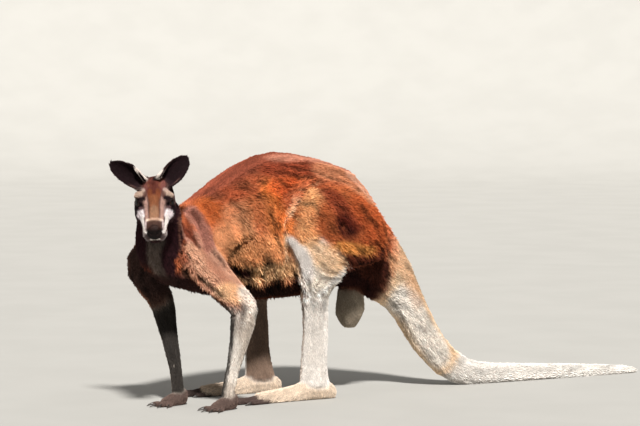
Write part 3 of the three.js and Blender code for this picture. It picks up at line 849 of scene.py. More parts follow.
BASE_COLOUR = {
    "trunk": "#a65a39",
    "neck": "#2a1418",
    # the neck's colour is brownish-grey hair darkened further as painted shade, the head's shadow over it
    "head": "#5c4640",
    "lower_jaw": "#3a3030",
    "nose": BLACK,
    "ear": "#4d3833",
    "upper_arm": "#ae7d66",
    "forearm": "#b9aea3",
    "forepaw": "#5a4a44",
    "thigh": "#99522f",
    "shank": "#f8f1ea",
    "hind_foot": "#cdbba8",
    "toe": "#51433f",
    "scrotum": "#958979",
    "tail_base": "#e2c6a6",
    "tail_middle": "#fbf5ee",
    "tail_end": "#faf5ee",
}

# Markings of the body, on both sides: colour, the points of a line and the reach round it in the
# body's millimetres, and strength.
BODY_MARKS = [
    ("#773d2e", [(-420, -30, 640), (-250, -10, 722), (-100, 0, 735), (20, 0, 705)], (80, 80, 52), 0.9),
    ("#a6562b", [(-432, -110, 585), (-400, -140, 555)], (34, 60, 36), 0.9),
    ("#cb9268", [(-395, -165, 490), (-335, -160, 510)], (40, 50, 56), 0.8),
    ("#cf783a", [(-236, -140, 610), (-214, -150, 520)], (34, 60, 60), 0.8),
    ("#c05c2f", [(-205, -120, 640), (-160, -120, 662)], (34, 50, 26), 0.7),
    ("#c08660", [(-365, -142, 565), (-325, -140, 580)], (30, 40, 34), 0.7),
    ("#8a4229", [(-350, -100, 622), (-300, -120, 618), (-285, -130, 600)], (34, 40, 20), 0.6),
    ("#7c3220", [(-190, -88, 688), (-90, -88, 688)], (60, 40, 22), 0.7),
    ("#b47c66", [(-150, -40, 718), (-60, -30, 724), (50, -30, 692)], (60, 36, 12), 0.7),
    ("#a3663f", [(-290, -150, 590), (-255, -150, 560)], (40, 40, 50), 0.6),
    ("#c2885a", [(-330, -150, 450), (-215, -150, 450)], (60, 60, 56), 0.8),
    ("#c59d73", [(-300, -140, 388), (-180, -150, 396)], (60, 60, 28), 0.9),
    # painted shade in the hollow of the arm pit, where the arm meets the flank
    ("#5a2c1e", [(-346, -163, 472), (-312, -163, 486)], 12, 0.7),
    ("#1d0b0b", [(-348, -163, 466), (-366, -163, 442), (-382, -162, 416), (-386, -190, 405),
                 (-384, -158, 400)], 15, 1.0),
    # painted shadow of the arm on the belly below it
    ("#240e0c", [(-372, -152, 402), (-340, -144, 397), (-312, -139, 390)], 21, 1.0),
    # painted shade along the belly's lower edge and underside
    ("#22120e", [(-340, -100, 332), (-250, -110, 332), (-180, -110, 332)], (80, 80, 26), 0.97),
    # painted shade in the slit between the belly and the thigh
    ("#1f0f0e", [(-192, -158, 496), (-184, -152, 454), (-164, -158, 419), (-146, -154, 350)], 7, 0.8),
    # thigh and rump
    # painted shade in the hollow of the flank before the thigh's front ridge
    ("#9a4c26", [(-116, -100, 666), (-160, -124, 636), (-202, -142, 592), (-226, -152, 540),
                 (-226, -156, 500)], 13, 0.75),
    ("#cf9868", [(-98, -140, 608), (-130, -158, 566), (-150, -175, 515), (-142, -190, 490)], 32, 0.9),
    ("#7a3622", [(-60, -150, 622), (-44, -164, 600), (-20, -190, 566), (10, -195, 530)], 33, 0.85),
    ("#a24f2a", [(50, -165, 575), (92, -165, 530), (80, -165, 470)], (46, 60, 46), 0.8),
    ("#ad7555", [(-30, -75, 680), (30, -85, 672), (70, -100, 645), (104, -118, 606)], (46, 60, 30), 0.8),
    ("#cf9f86", [(70, -60, 668), (118, -80, 615), (152, -76, 545)], (20, 40, 20), 0.7),
    ("#c98b4a", [(-34, -195, 464), (20, -180, 455), (56, -170, 448)], (36, 40, 15), 0.8),
    # painted shade in the pit behind the thigh's muscle
    ("#4a1711", [(-24, -195, 534), (-10, -200, 512)], 33, 0.85),
    ("#1c0707", [(-24, -198, 523), (-10, -198, 506)], 22, 1.0),
    # a painted highlight along the thigh's front crest, and pale hair down the thigh's front to the knee
    # lightened further as painted highlight
    ("#e2b68c", [(-56, -108, 650), (-90, -114, 644), (-124, -123, 633), (-152, -138, 605)], 5, 0.55),
    ("#ecc49c", [(-156, -140, 600), (-180, -150, 563), (-193, -160, 526), (-192, -158, 470),
                 (-186, -150, 400)], 10, 0.95),
    # dark-tipped hair of the thigh's lower fringe, carried down below it as painted shade under the thigh
    ("#401b14", [(-24, -184, 420), (50, -160, 412), (100, -150, 420), (140, -120, 438)], (30, 50, 24), 0.9),
    # knee and shank
    ("#efe0cb", [(-110, -190, 390), (-60, -185, 370)], (40, 50, 60), 0.6),
    ("#d9b48c", [(-132, -195, 450), (-92, -195, 436), (-60, -195, 412)], (36, 50, 40), 0.8),
    (WHITE, [(-184, -166, 484), (-172, -176, 460)], 15, 1.0),
    (WHITE, [(-160, -178, 446), (-148, -180, 418), (-138, -174, 385)], 23, 1.0),
    # white hair of the calf's rear edge, made whiter as a painted highlight where that edge catches the
    # light
    ("#fdf8f2", [(-14, -177, 397), (-54, -177, 357), (-90, -172, 322)], 10, 1.0),
    # painted shadow in the groove between the shin bone and the heel tendon
    ("#6e625c", [(-101, -166, 317), (-94, -145, 244), (-91, -134, 184), (-91, -128, 124)], 3.4, 0.9),
    # neck and shoulder
    # on the folds of the neck and shoulder the thin pale lines along the crests are painted highlight, and
    # the dark marks along the furrows are painted shade over the folds' reddish hair
    ("#6b3526", [(-524, -128, 562), (-509, -144, 522), (-503, -160, 486)], 17, 0.95),
    ("#b98471", [(-534, -136, 590), (-537, -155, 545), (-525, -147, 512), (-508, -164, 488)], 5, 0.95),
    ("#8b5242", [(-500, -100, 585), (-478, -130, 560)], 24, 0.6),
    ("#ad7a68", [(-493, -100, 568), (-489, -134, 536), (-485, -156, 509), (-482, -182, 478)], 5.5, 0.9),
    ("#5c3833", [(-476, -122, 552), (-468, -154, 519), (-467, -172, 494), (-465, -190, 468)], 9, 0.85),
    ("#b07d6b", [(-464, -98, 578), (-452, -132, 554), (-445, -151, 531), (-442, -168, 500),
                 (-443, -188, 464)], 4.5, 0.8),
    ("#8f5f52", [(-480, -84, 582), (-472, -120, 558), (-462, -148, 527), (-456, -174, 490),
                 (-446, -200, 450), (-424, -214, 428)], 19, 0.95),
    ("#b58a73", [(-440, -200, 450), (-400, -218, 410), (-372, -228, 355)], 24, 0.85),
    # painted shadow along the upper arm's rear edge, against the flank
    ("#2a1210", [(-394, -190, 424), (-388, -198, 404)], 11, 0.85),
    ("#bf9277", [(-512, -168, 472), (-496, -190, 446), (-494, -196, 412), (-468, -214, 382)], 20, 0.85),
    # painted shade in the crease between the upper arm and the body, and in a crease of the neck fold
    ("#331c1a", [(-452, -192, 462), (-430, -206, 436), (-408, -216, 404)], 4.5, 0.8),
    ("#3a211d", [(-496, -166, 490), (-488, -178, 476)], 6, 0.7),
    ("#7b4430", [(-534, -164, 456), (-524, -160, 432)], (12, 30, 18), 0.8),
    ("#a07058", [(-514, -160, 415), (-502, -180, 382)], (20, 30, 20), 0.85),
    ("#80594a", [(-541, -160, 590), (-542, -160, 540), (-538, -160, 470)], 5, 0.5),
    ("#dcb289", [(-425, -232, 352), (-395, -243, 338)], (34, 40, 24), 0.8),
    # painted shade under the upper arm, along its lower front edge to the elbow
    ("#4a2a20", [(-500, -180, 352), (-450, -205, 318), (-410, -215, 296)], 17, 0.8),
    ("#e4d8cd", [(-372, -236, 338), (-358, -240, 308)], 27, 0.95),
    # painted shade down the near forearm's front edge
    ("#4a443e", [(-418, -206, 312), (-404, -208, 283), (-400, -209, 250), (-400, -209, 215)], 11, 0.75),
    ("#a39a92", [(-412, -240, 282), (-400, -240, 255)], (30, 40, 26), 0.7),
    ("#e2dbd3", [(-410, -222, 190), (-405, -206, 121)], (30, 40, 36), 0.7),
    # chest
    # dark hair of the lower chest, deepened as painted shade where the head's shadow falls
    ("#2f1c1c", [(-575, -20, 430), (-540, -30, 395), (-520, -60, 375)], (70, 90, 44), 0.85),
    ("#6b5f57", [(-612, -150, 492), (-612, -140, 460), (-602, -125, 430), (-570, -110, 396)], 20, 0.8),
    # painted shade under the chest, between the forelegs
    ("#33201d", [(-560, -60, 380), (-500, -60, 350), (-420, -60, 330)], (60, 90, 34), 0.9),
    # tail
    # the tail's cream lower side, carried onto its shaded base as a painted highlight
    ("#f8f2ea", [(240, -50, 280), (290, -60, 245), (335, -50, 175), (390, -40, 110)], (34, 60, 50), 0.85),
    ("#38322d", [(88, -10, 236)], (60, 60, 30), 0.8),
    ("#d3a683", [(226, -60, 440), (262, -60, 360), (300, -50, 290)], (26, 60, 40), 0.4),
    ("#dab694", [(350, -20, 260), (400, -10, 170), (440, 0, 120)], (26, 40, 26), 0.15),
]


def patch(places, line, reach, soft=0.4):
    """1 within reach of a line and 0 beyond it, with a soft edge."""
    away = distance_to_line(places / reach, np.array(line, float) / reach)
    return 1 - fade(away, 1 - soft, 1 + soft)


def blend(tint, colour, share):
    return tint + (linear(colour) - tint) * share[:, None]


# The rump behind the thigh, in the body's millimetres: where it begins along the body and up, and
# where the painted shade under the thigh gives way to the tail's tan, further back the lower it is.
RUMP_FRONT, RUMP_TOP = (-30, 30), (445, 400)
TAIL_FRONT, TAIL_SLOPE = (182, 200), 0.25
DOWNWARD_SHADE = (0.35, 0.8)  # painted shade where the trunk's skin faces down: from where it faces down too little for any to where it is in full


def markings(surface, normals, of):
    """The coat's colour at every point of the skin."""
    tint = sum(weight[:, None] * linear(BASE_COLOUR[coat_key(node)]) for node, weight in of.items())
    places = folded(in_body(surface.points), of)
    trunk = of["trunk"]
    # painted shade on the trunk's underside
    tint = blend(tint, "#37190f", fade(-normals[:, 2], *DOWNWARD_SHADE) * trunk * 0.9)
    for colour, line, reach, strength in BODY_MARKS:
        tint = blend(tint, colour, patch(places, line, reach) * strength)
    on_rump = fade(places[:, 0], *RUMP_FRONT) * fade(places[:, 2], *RUMP_TOP) * trunk
    tail_side = fade(places[:, 0] + TAIL_SLOPE * (places[:, 2] - RUMP_TOP[1]), *TAIL_FRONT)
    # painted shade under the thigh, on the rump in front of the tail
    tint = blend(tint, "#210d0e", on_rump * (1 - tail_side) * 0.9)
    tint = blend(tint, "#d3a47c", on_rump * tail_side * 0.9)
    tint = paint_inner_limbs(tint, normals, of)
    head = in_head(surface.points)
    tint = paint_head(tint, head, of)
    tint = paint_ears(tint, head, normals, of) * COAT_GAIN
    return tint * np.minimum(1, 1.0 / tint.max(1))[:, None]


# Painted shade, over somewhat darker hair, on the side of each limb that faces the other one: its
# colour, and how far a place has to face that way for none of it and for all of it.
INNER_SHADE_AND_HAIR = {
    "upper_arm": ("#3a2925", (-0.35, 0.35)),
    "forearm": ("#171413", (-0.8, 0.0)),
    "shank": ("#735b4a", (-0.35, 0.35)),
    "thigh": ("#7a4630", (-0.35, 0.35)),
}


def paint_inner_limbs(tint, normals, of):
    for name, side in SIDES.items():
        for part, (colour, facing) in INNER_SHADE_AND_HAIR.items():
            # painted shade on the side of the limb that faces the other one
            inner = fade(normals[:, 1] * side, *facing)
            tint = blend(tint, colour, inner * of[f"{name}_{part}"] * 0.95)
    return tint


# Markings of the head, on both sides: colour, the points of a line and the reach round it in the
# head's millimetres, and strength.
FACE_MARKS = [
    ("#4e231c", [(-60, 0, 55), (-30, 0, 66)], (26, 40, 26), 0.9),
    ("#63342b", [(-36, 14, 60), (-14, 15, 58), (6, 9, 55), (20, 5, 51)], 13, 0.9),
    ("#86553f", [(-54, 26, 57), (-30, 24, 57), (-14, 19, 59)], 7, 0.7),
    ("#7c4424", [(12, 11, 53), (28, 10, 48)], (15, 7, 14), 0.6),
    ("#4a2018", [(-20, 1, 64), (4, 0, 58), (18, -1, 53)], (9, 5.5, 9), 0.55),
    ("#7f4e33", [(30, 0, 49), (52, 0, 41), (92, 0, 32)], (12, 13, 12), 0.95),
    ("#9b7b62", [(78, 0, 35), (98, 0, 32)], (28, 12, 10), 0.6),
    ("#a07f74", [(26, 25, 40), (42, 24, 35), (72, 24, 26), (94, 21, 22)], 7.5, 0.95),
    ("#5c3320", [(28, 13, 47), (49, 13, 39), (74, 14, 33)], (3, 2.6, 6), 0.35),
    ("#2f1c1e", [(-30, 54, 24), (-10, 60, 8), (0, 58, -24)], (20, 12, 16), 0.9),
    ("#2a191b", [(6, 57, -16), (34, 53, -22), (60, 47, -24), (84, 42, -26), (-20, 56, -40)], 15, 0.95),
    ("#734641", [(-42, 25, 57), (-24, 26, 57), (-10, 25, 55)], 8.5, 0.8),
    # pale hair of the brows, lighter still as painted highlight where light falls on them from above
    ("#b39a90", [(-4, 35, 50), (-7, 42, 47), (-4, 50, 41)], 10.5, 0.95),
    ("#b39b8b", [(3, 35, 45), (4, 47, 41)], 10, 0.95),
    ("#25161a", [(-54, 32, 60), (-43, 42, 50), (-36, 52, 44)], 9.5, 0.95),
    ("#5a3a33", [(6, 27, 48), (20, 27, 43)], 6, 0.7),
    # dark skin round the eyes, deepened as painted shadow of the brows over them
    ("#1b0e11", [(21, 30, 39), (18, 40, 36), (14, 52, 31)], 6.5, 0.98),
    ("#1e1114", [(27, 43, 24), (27, 45, 24), (26, 51, 9), (20, 56, -7)], 13.5, 1.0),
    ("#5d4649", [(29, 44, 14), (37, 37, 18)], 4.5, 0.7),
    ("#8b7674", [(42, 34, 26), (52, 31, 21), (66, 29, 17)], 6, 0.9),
    ("#4f3a3c", [(84, 29, 15), (100, 27, 14), (112, 26, 12)], 3.2, 0.8),
    ("#cfc4c6", [(37, 47, -3), (46, 44, -3), (58, 40, -3), (72, 36, -1)], 9, 1.0),
    ("#d2c7c9", [(42, 42, 5), (54, 38, 5)], 8, 1.0),
    ("#d4cacb", [(47, 35.5, 12), (58, 33, 12), (70, 30.5, 12)], 7, 1.0),
    (WHITE, [(66, 36, 4), (76, 33.5, 5), (98, 29.5, 4), (124, 25, 1)], 7.2, 1.0),
    ("#e6cdb8", [(97, 25, 20), (105, 15, 27)], 4.6, 0.95),
    ("#bb9a86", [(104, 12, 28), (106, 0, 30)], 4.8, 0.9),
    ("#c3b2b0", [(100, 24, 20), (113, 23, 15), (124, 23, 8)], 4.2, 0.9),
    ("#463029", [(117, 0, 28), (118, 10, 27), (121, 15, 22), (127, 18, 12)], 6.5, 0.9),
    (BLACK, [(134, 0, 8), (138, 0, -6)], (12, 19, 9), 1.0),
    ("#a0938f", [(106, 31, -20), (122, 27, -18)], 10, 0.9),
    ("#8d8180", [(120, 24, -25), (130, 16, -24)], 6, 0.9),
    ("#554a4b", [(130, 25, -4), (134, 18, -12), (126, 25, -16)], 3.6, 0.75),
    ("#d0c7c9", [(114, 31, -12), (118, 29, -24)], 3.2, 0.7),
    ("#e0d5cd", [(137, 0, -18), (135, 11, -17)], 3.2, 0.95),
    (WHITE, [(129, 24, 3), (131, 22, 5)], 3.8, 1.0),
    ("#2a1418", [(131, 0, -28), (126, 0, -38)], (12, 18, 7), 0.95),
    ("#4e4641", [(96, 0, -52), (40, 0, -66), (20, 0, -110)], (30, 22, 20), 0.75),
]
FACE_SOFT = 0.3  # a marking's edge on the face is crisper than on the body
THROAT_BELOW = -50  # a marking that starts below this runs on down the neck


def on_left(head):
    """The like places on the head's left side."""
    return np.stack([head[:, 0], np.abs(head[:, 1]), head[:, 2]], 1)


def paint_head(tint, head, of):
    ears = of["left_ear"] + of["right_ear"]
    on_head = of["head"] + of["lower_jaw"] + of["nose"] + ears * fade(head[:, 0], -17, -10)
    for colour, line, reach, strength in FACE_MARKS:
        where = on_head + of["neck"] * (line[0][2] < THROAT_BELOW)
        mark = patch(on_left(head), line, reach, FACE_SOFT)
        tint = blend(tint, colour, mark * strength * np.clip(where, 0, 1))
    return blend(tint, BLACK, nose_pad(head))


NOSE_PAD_AT, NOSE_PAD_REACH = (135, 0, 5), (21.5, 23, 22)


def nose_pad(head):
    """1 on the bare skin of the nose and 0 on the fur around it."""
    reach = np.linalg.norm((head - NOSE_PAD_AT) / NOSE_PAD_REACH, axis=1)
    return 1 - fade(reach, 0.94, 1.02)


# The ears, in the head's millimetres: the dark hair below their roots on both sides, the pale hair
# along each one's inner edge, and the way that each one opens.
EAR_ROOT = [(-50, 34, 50), (-40, 42, 45), (-30, 50, 45), (-17, 42, 53)]
EAR_TUFTS = {
    "left": [(-38, 14, 73), (-43, 17, 79), (-46, 19, 82)],
    "right": [(-52, -46, 87), (-52, -38, 77), (-47, -32, 70), (-44, -27, 65)],
}
EAR_OPENING = {"left": (0.8, 0.1, 0.55), "right": (0.8, -0.05, 0.6)}


def paint_ears(tint, head, normals, of):
    for name in SIDES:
        ear = of[f"{name}_ear"]
        opening = unit(HEAD_AXES @ np.array(EAR_OPENING[name]))
        # the inside of each ear's cup is painted near black: its dark skin, and painted shade inside the
        # cup
        inside = fade(normals @ opening, -0.05, 0.3) * ear * fade(head[:, 0], -16, -26)
        tint = blend(tint, "#180b0e", inside)
        dark = patch(on_left(head), EAR_ROOT, 11, FACE_SOFT)
        tint = blend(tint, "#25161a", dark * ear * 0.9)
        pale = patch(head, EAR_TUFTS[name], 9.5, FACE_SOFT)
        tint = blend(tint, "#c4b9b1", pale * 0.95 * np.clip(ear + of["head"], 0, 1))
    return tint


# -------------------------------------------------------------------------------- coat


NOSE_TIP = (138, 0, 4)
HANG, LOW_HANG = 0.9, 1.6  # the pull downwards on the sides, and what is added to it
HANG_HEIGHTS = (640, 430)  # from here down to here
SIDEWAYS = (0.15, 0.8)  # from where the skin faces sideways too little for it to where it does in full


def lay_of_the_coat(surface, normals, of):
    """The direction in which a tuft lies at every point: away from the nose, and down on the sides."""
    start = int(np.argmin(np.linalg.norm(surface.points - from_head(NOSE_TIP), axis=1)))
    away = surface.spread(surface.distances(start), 60)
    flow = unit(surface.slope(away))
    height = in_body(surface.points)[:, 2]
    thighs = of["left_thigh"] + of["right_thigh"]
    hang = of["trunk"] * (HANG + LOW_HANG * fade(height, *HANG_HEIGHTS)) + HANG * thighs
    flow[:, 2] -= hang * fade(np.abs(normals[:, 1]), *SIDEWAYS)
    for _ in range(3):
        flow = surface.spread(flow, 8)
        flow = unit(flow - normals * (flow * normals).sum(1)[:, None])
    return flow


FLEECE_SOFT = 0.6


def fleece(surface, of):
    """Every point's tufts: length and width in metres, lift in degrees, and how woolly they are."""
    coat = sum(weight[:, None] * np.array(COAT[coat_key(node)]) for node, weight in of.items())
    length, width, lift, wool = coat.T.copy()
    length, width = length * MM, width * MM
    places = folded(in_body(surface.points), of)
    for line, reach, share, more_lift, woolly in FLEECE:
        here = patch(places, line, reach, FLEECE_SOFT)
        length *= 1 + (share - 1) * here
        lift += more_lift * here
        wool += (woolly - wool) * here
    return length, width, lift, wool


PATCH = 0.003  # width of one tuft's patch on the bake map
TUFT_RINGS = [(-0.04, 0.62, -0.10), (0.42, 1.0, 0.16)]  # along the tuft, width, height
TUFT_CORNERS = [(-0.5, -0.2), (0.5, -0.2), (0.0, 0.45)]  # across it and up, as shares of the width


def tuft_mesh():
    """A tuft one unit long: three-sided, widest before its middle, bowed up and ending in a point."""
    shape = bmesh.new()
    tip_level = shape.verts.layers.float.new("tip")
    corners = []
    for along, width, height in TUFT_RINGS:
        ring = []
        for across, rise in TUFT_CORNERS:
            point = shape.verts.new((along, across * width, rise * width + height))
            point[tip_level] = max(along, 0)
            ring.append(point)
        corners.append(ring)
    tip = shape.verts.new((1.0, 0.0, 0.0))
    tip[tip_level] = 1.0
    root, middle = corners
    shape.faces.new(root[::-1])
    for i in range(3):
        j = (i + 1) % 3
        shape.faces.new((root[i], root[j], middle[j], middle[i]))
        shape.faces.new((middle[i], middle[j], tip))
    bmesh.ops.triangulate(shape, faces=shape.faces)
    bmesh.ops.recalc_face_normals(shape, faces=shape.faces)
    patch = shape.loops.layers.float_vector.new("patch")
    for face in shape.faces:
        for corner in face.loops:
            place = corner.vert.co
            corner[patch] = (PATCH * place.x, PATCH * (place.y + 0.5), 0)
    return mesh_of("tuft", shape)


class Recipe:
    """A tree of geometry nodes with named inputs."""

    def __init__(self, name):
        self.tree = bpy.data.node_groups.new(name, "GeometryNodeTree")
        self.inputs = {}
        self.enter = None

    def ask(self, name, kind):
        socket = self.tree.interface.new_socket(name=name, in_out="INPUT", socket_type=kind)
        self.inputs[name] = socket.identifier

    def start(self):
        kind = "NodeSocketGeometry"
        self.tree.interface.new_socket(name="Geometry", in_out="OUTPUT", socket_type=kind)
        self.enter = self.tree.nodes.new("NodeGroupInput")

    def given(self, name):
        return self.enter.outputs[name]

    def node(self, kind, settings, inputs, output=0):
        return add_node(self.tree, kind, settings, inputs, output)

    def maths(self, operation, *values):
        return self.node("ShaderNodeMath", {"operation": operation}, dict(enumerate(values)))

    def vectors(self, operation, *values):
        return self.node("ShaderNodeVectorMath", {"operation": operation}, dict(enumerate(values)))

    def scaled(self, vector, level):
        return self.node("ShaderNodeVectorMath", {"operation": "SCALE"}, {0: vector, "Scale": level})

    def attribute(self, name, kind="FLOAT"):
        return self.node("GeometryNodeInputNamedAttribute", {"data_type": kind}, {"Name": name})

    def random(self, low, high, seed, kind="FLOAT"):
        sockets = {"FLOAT": (2, 3, 1), "FLOAT_VECTOR": (0, 1, 0)}[kind]
        inputs = {sockets[0]: low, sockets[1]: high, "Seed": seed}
        return self.node("FunctionNodeRandomValue", {"data_type": kind}, inputs, sockets[2])

    def store(self, geometry, name, value, kind, domain):
        settings = {"data_type": kind, "domain": domain}
        inputs = {"Geometry": geometry, "Name": name, "Value": value}
        return self.node("GeometryNodeStoreNamedAttribute", settings, inputs)

    def end(self, geometry):
        leave = self.tree.nodes.new("NodeGroupOutput")
        self.tree.links.new(geometry, leave.inputs["Geometry"])


LENGTHS, WIDTHS = (0.72, 1.18), (0.75, 1.25)  # of single tufts, as shares of the coat's own
CROWD = 3.0  # points strewn for each tuft's square, of which those too near to others go
LOWEST_TUFT = 0.0003  # above the ground


def coat_recipe():
    """Strews tufts over a stretch of skin, each along the coat's lay at its root."""
    recipe = Recipe("coat")
    for name, kind in (
        ("Geometry", "Geometry"), ("Tuft", "Object"), ("Finish", "Material"), ("Spacing", "Float"),
        ("Ruffle", "Float"), ("Locks", "Float"), ("Lock size", "Float"), ("Seed", "Int"),
    ):
        recipe.ask(name, "NodeSocket" + kind)
    recipe.start()
    spacing = recipe.given("Spacing")
    crowd = recipe.maths("DIVIDE", CROWD, recipe.maths("MULTIPLY", spacing, spacing))
    strewn = recipe.node(
        "GeometryNodeDistributePointsOnFaces",
        {"distribute_method": "POISSON"},
        {"Mesh": recipe.given("Geometry"), "Distance Min": spacing, "Density Max": crowd,
         "Seed": recipe.given("Seed")},
    )
    upright = strewn.node.outputs["Normal"]
    place = recipe.node("GeometryNodeInputPosition", {}, {})
    scale = recipe.maths("DIVIDE", 1.0, recipe.given("Lock size"))
    waves = recipe.node(
        "ShaderNodeTexNoise", {}, {"Vector": place, "Scale": scale, "Detail": 2.0}, "Color"
    )
    waves = recipe.vectors("SUBTRACT", waves, (0.5, 0.5, 0.5))
    sway = recipe.scaled(waves, recipe.given("Locks"))
    stray = recipe.random((-1, -1, -1), (1, 1, 1), 11, "FLOAT_VECTOR")
    ruffled = recipe.maths("MULTIPLY", recipe.given("Ruffle"), recipe.attribute("ruffle"))
    stray = recipe.scaled(stray, ruffled)
    lie = recipe.vectors("ADD", recipe.attribute("lie", "FLOAT_VECTOR"), sway)
    lie = recipe.vectors("ADD", lie, stray)
    turn = recipe.node(
        "FunctionNodeAxesToRotation",
        {"primary_axis": "X", "secondary_axis": "Z"},
        {"Primary Axis": lie, "Secondary Axis": upright},
    )
    length = recipe.maths("MULTIPLY", recipe.attribute("tuft_length"), recipe.random(*LENGTHS, 5))
    width = recipe.maths("MULTIPLY", recipe.attribute("tuft_width"), recipe.random(*WIDTHS, 7))
    size = recipe.node("ShaderNodeCombineXYZ", {}, {0: length, 1: width, 2: width})
    tuft = recipe.node("GeometryNodeObjectInfo", {}, {"Object": recipe.given("Tuft")}, "Geometry")
    points = recipe.store(strewn, "shade", recipe.random(-1.0, 1.0, 3), "FLOAT", "POINT")
    tufts = recipe.node(
        "GeometryNodeInstanceOnPoints", {},
        {"Points": points, "Instance": tuft, "Rotation": turn, "Scale": size},
    )
    solid = recipe.node("GeometryNodeRealizeInstances", {}, {"Geometry": tufts})
    height = recipe.node("ShaderNodeSeparateXYZ", {}, {0: place}, 2)
    sunk = recipe.maths("MAXIMUM", recipe.maths("SUBTRACT", LOWEST_TUFT, height), 0.0)
    lifted = recipe.node("ShaderNodeCombineXYZ", {}, {2: sunk})
    solid = recipe.node("GeometryNodeSetPosition", {}, {"Geometry": solid, "Offset": lifted})
    root = recipe.attribute("unwrap", "FLOAT_VECTOR")
    patch = recipe.attribute("patch", "FLOAT_VECTOR")
    solid = recipe.store(solid, "OFBake", recipe.vectors("ADD", root, patch), "FLOAT2", "CORNER")
    solid = recipe.node(
        "GeometryNodeSetMaterial", {}, {"Geometry": solid, "Material": recipe.given("Finish")}
    )
    recipe.end(solid)
    return recipe


# Each stretch of the coat: the slot of its finish, the parts it covers, the half of the body, the
# tufts' spacing in millimetres, how ruffled they are, how they gather into locks, and a lock's size.
STRETCHES = {
    "coat_left_shoulder": ("rust_fur", ("trunk",), "left fore", 2.9, 0.36, 0.7, 15),
    "coat_right_shoulder": ("rust_fur", ("trunk",), "right fore", 2.9, 0.36, 0.7, 15),
    "coat_left_flank": ("rust_fur", ("trunk",), "left hind", 2.9, 0.36, 0.7, 15),
    "coat_right_flank": ("rust_fur", ("trunk",), "right hind", 2.9, 0.36, 0.7, 15),
    "coat_thighs": ("rust_fur", ("thigh",), "", 2.8, 0.36, 0.6, 14),
    "coat_neck": ("grey_fur", ("neck", "upper_arm"), "", 2.8, 0.28, 0.4, 16),
    "coat_head": ("face_fur", ("head", "lower_jaw", "nose"), "", 1.8, 0.12, 0.2, 14),
    "coat_ears": ("ear_fur", ("ear",), "", 2.4, 0.12, 0.2, 12),
    "coat_forelegs": ("pale_fur", ("forearm", "forepaw"), "", 2.6, 0.22, 0.35, 16),
    "coat_hind_legs": ("pale_fur", ("shank", "hind_foot", "toe", "scrotum"), "", 2.9, 0.24, 0.4, 18),
    "coat_tail": ("tan_fur", ("tail_base", "tail_middle", "tail_end"), "", 3.1, 0.24, 0.35, 16),
}
WAIST = -230  # the trunk's coat is parted here, along the body, and down the spine
SOLE_HEIGHT = 5  # no tufts grow on the soles, below this, or between the lids
BARE_EYE, BARE_OPENING = 22, 1.12  # millimetres from the eye's centre, and how far past the lids' edge


def faces_of(surface, nearest, parts, half):
    """The skin's triangles that one stretch of the coat grows on."""
    keys = [coat_key(node) for node in FLESH]
    owner = nearest[surface.triangles[:, 0]]
    chosen = np.isin(owner, [i for i, key in enumerate(keys) if key in parts])
    middle = in_body(surface.points[surface.triangles].mean(1))
    if "left" in half:
        chosen &= middle[:, 1] < 0
    if "right" in half:
        chosen &= middle[:, 1] >= 0
    if "fore" in half:
        chosen &= middle[:, 0] < WAIST
    if "hind" in half:
        chosen &= middle[:, 0] >= WAIST
    head = in_head(surface.points[surface.triangles].mean(1))
    chosen &= nose_pad(head) < 0.5
    for side in SIDES.values():
        away = head - eye_centre(side)
        open_eye = lid_opening(unit(away @ eye_axes(side).T)) < BARE_OPENING
        chosen &= ~(open_eye & (np.linalg.norm(away, axis=1) < BARE_EYE))
    on_paws = np.isin(owner, [i for i, key in enumerate(keys) if key in ("hind_foot", "toe", "forepaw")])
    return chosen & ~(on_paws & (middle[:, 2] < SOLE_HEIGHT)), owner


ROUND_MARGIN = 0.05  # of a turn, beyond the strip's edges
STRIP_START, STRIP_WIDTH = 0.03, 0.94  # as shares of a strip's room
ALONG_START, ALONG_LENGTH = 0.01, 0.97
MOST_POINTS = 2000  # that a part's own axes are worked out from


def unwrapped(surface, triangles, owner, kept):
    """Each part laid out in a strip of its own: round it across the strip, and along it up the strip."""
    corners = surface.points[triangles]
    layout = np.zeros((len(triangles), 3, 3))
    strips = sorted(set(owner[kept].tolist()))
    for number, part in enumerate(strips):
        mine = owner[kept] == part
        points = corners[mine]
        flat = points.reshape(-1, 3)
        middle = flat.mean(0)
        some = flat[:: max(1, len(flat) // MOST_POINTS)]
        axes = np.linalg.svd(some - middle, full_matrices=False)[2]
        local = (points - middle) @ axes.T
        turn = np.arctan2(local[..., 2], local[..., 1]) / (2 * np.pi) + 0.5
        turn += np.round(turn[:, :1] - turn)
        turn = (turn + ROUND_MARGIN) / (1 + 2 * ROUND_MARGIN)
        along = local[..., 0]
        along = (along - along.min()) / np.ptp(along)
        layout[mine, :, 0] = (number + STRIP_START + STRIP_WIDTH * turn) / len(strips)
        layout[mine, :, 1] = ALONG_START + ALONG_LENGTH * along
    return layout


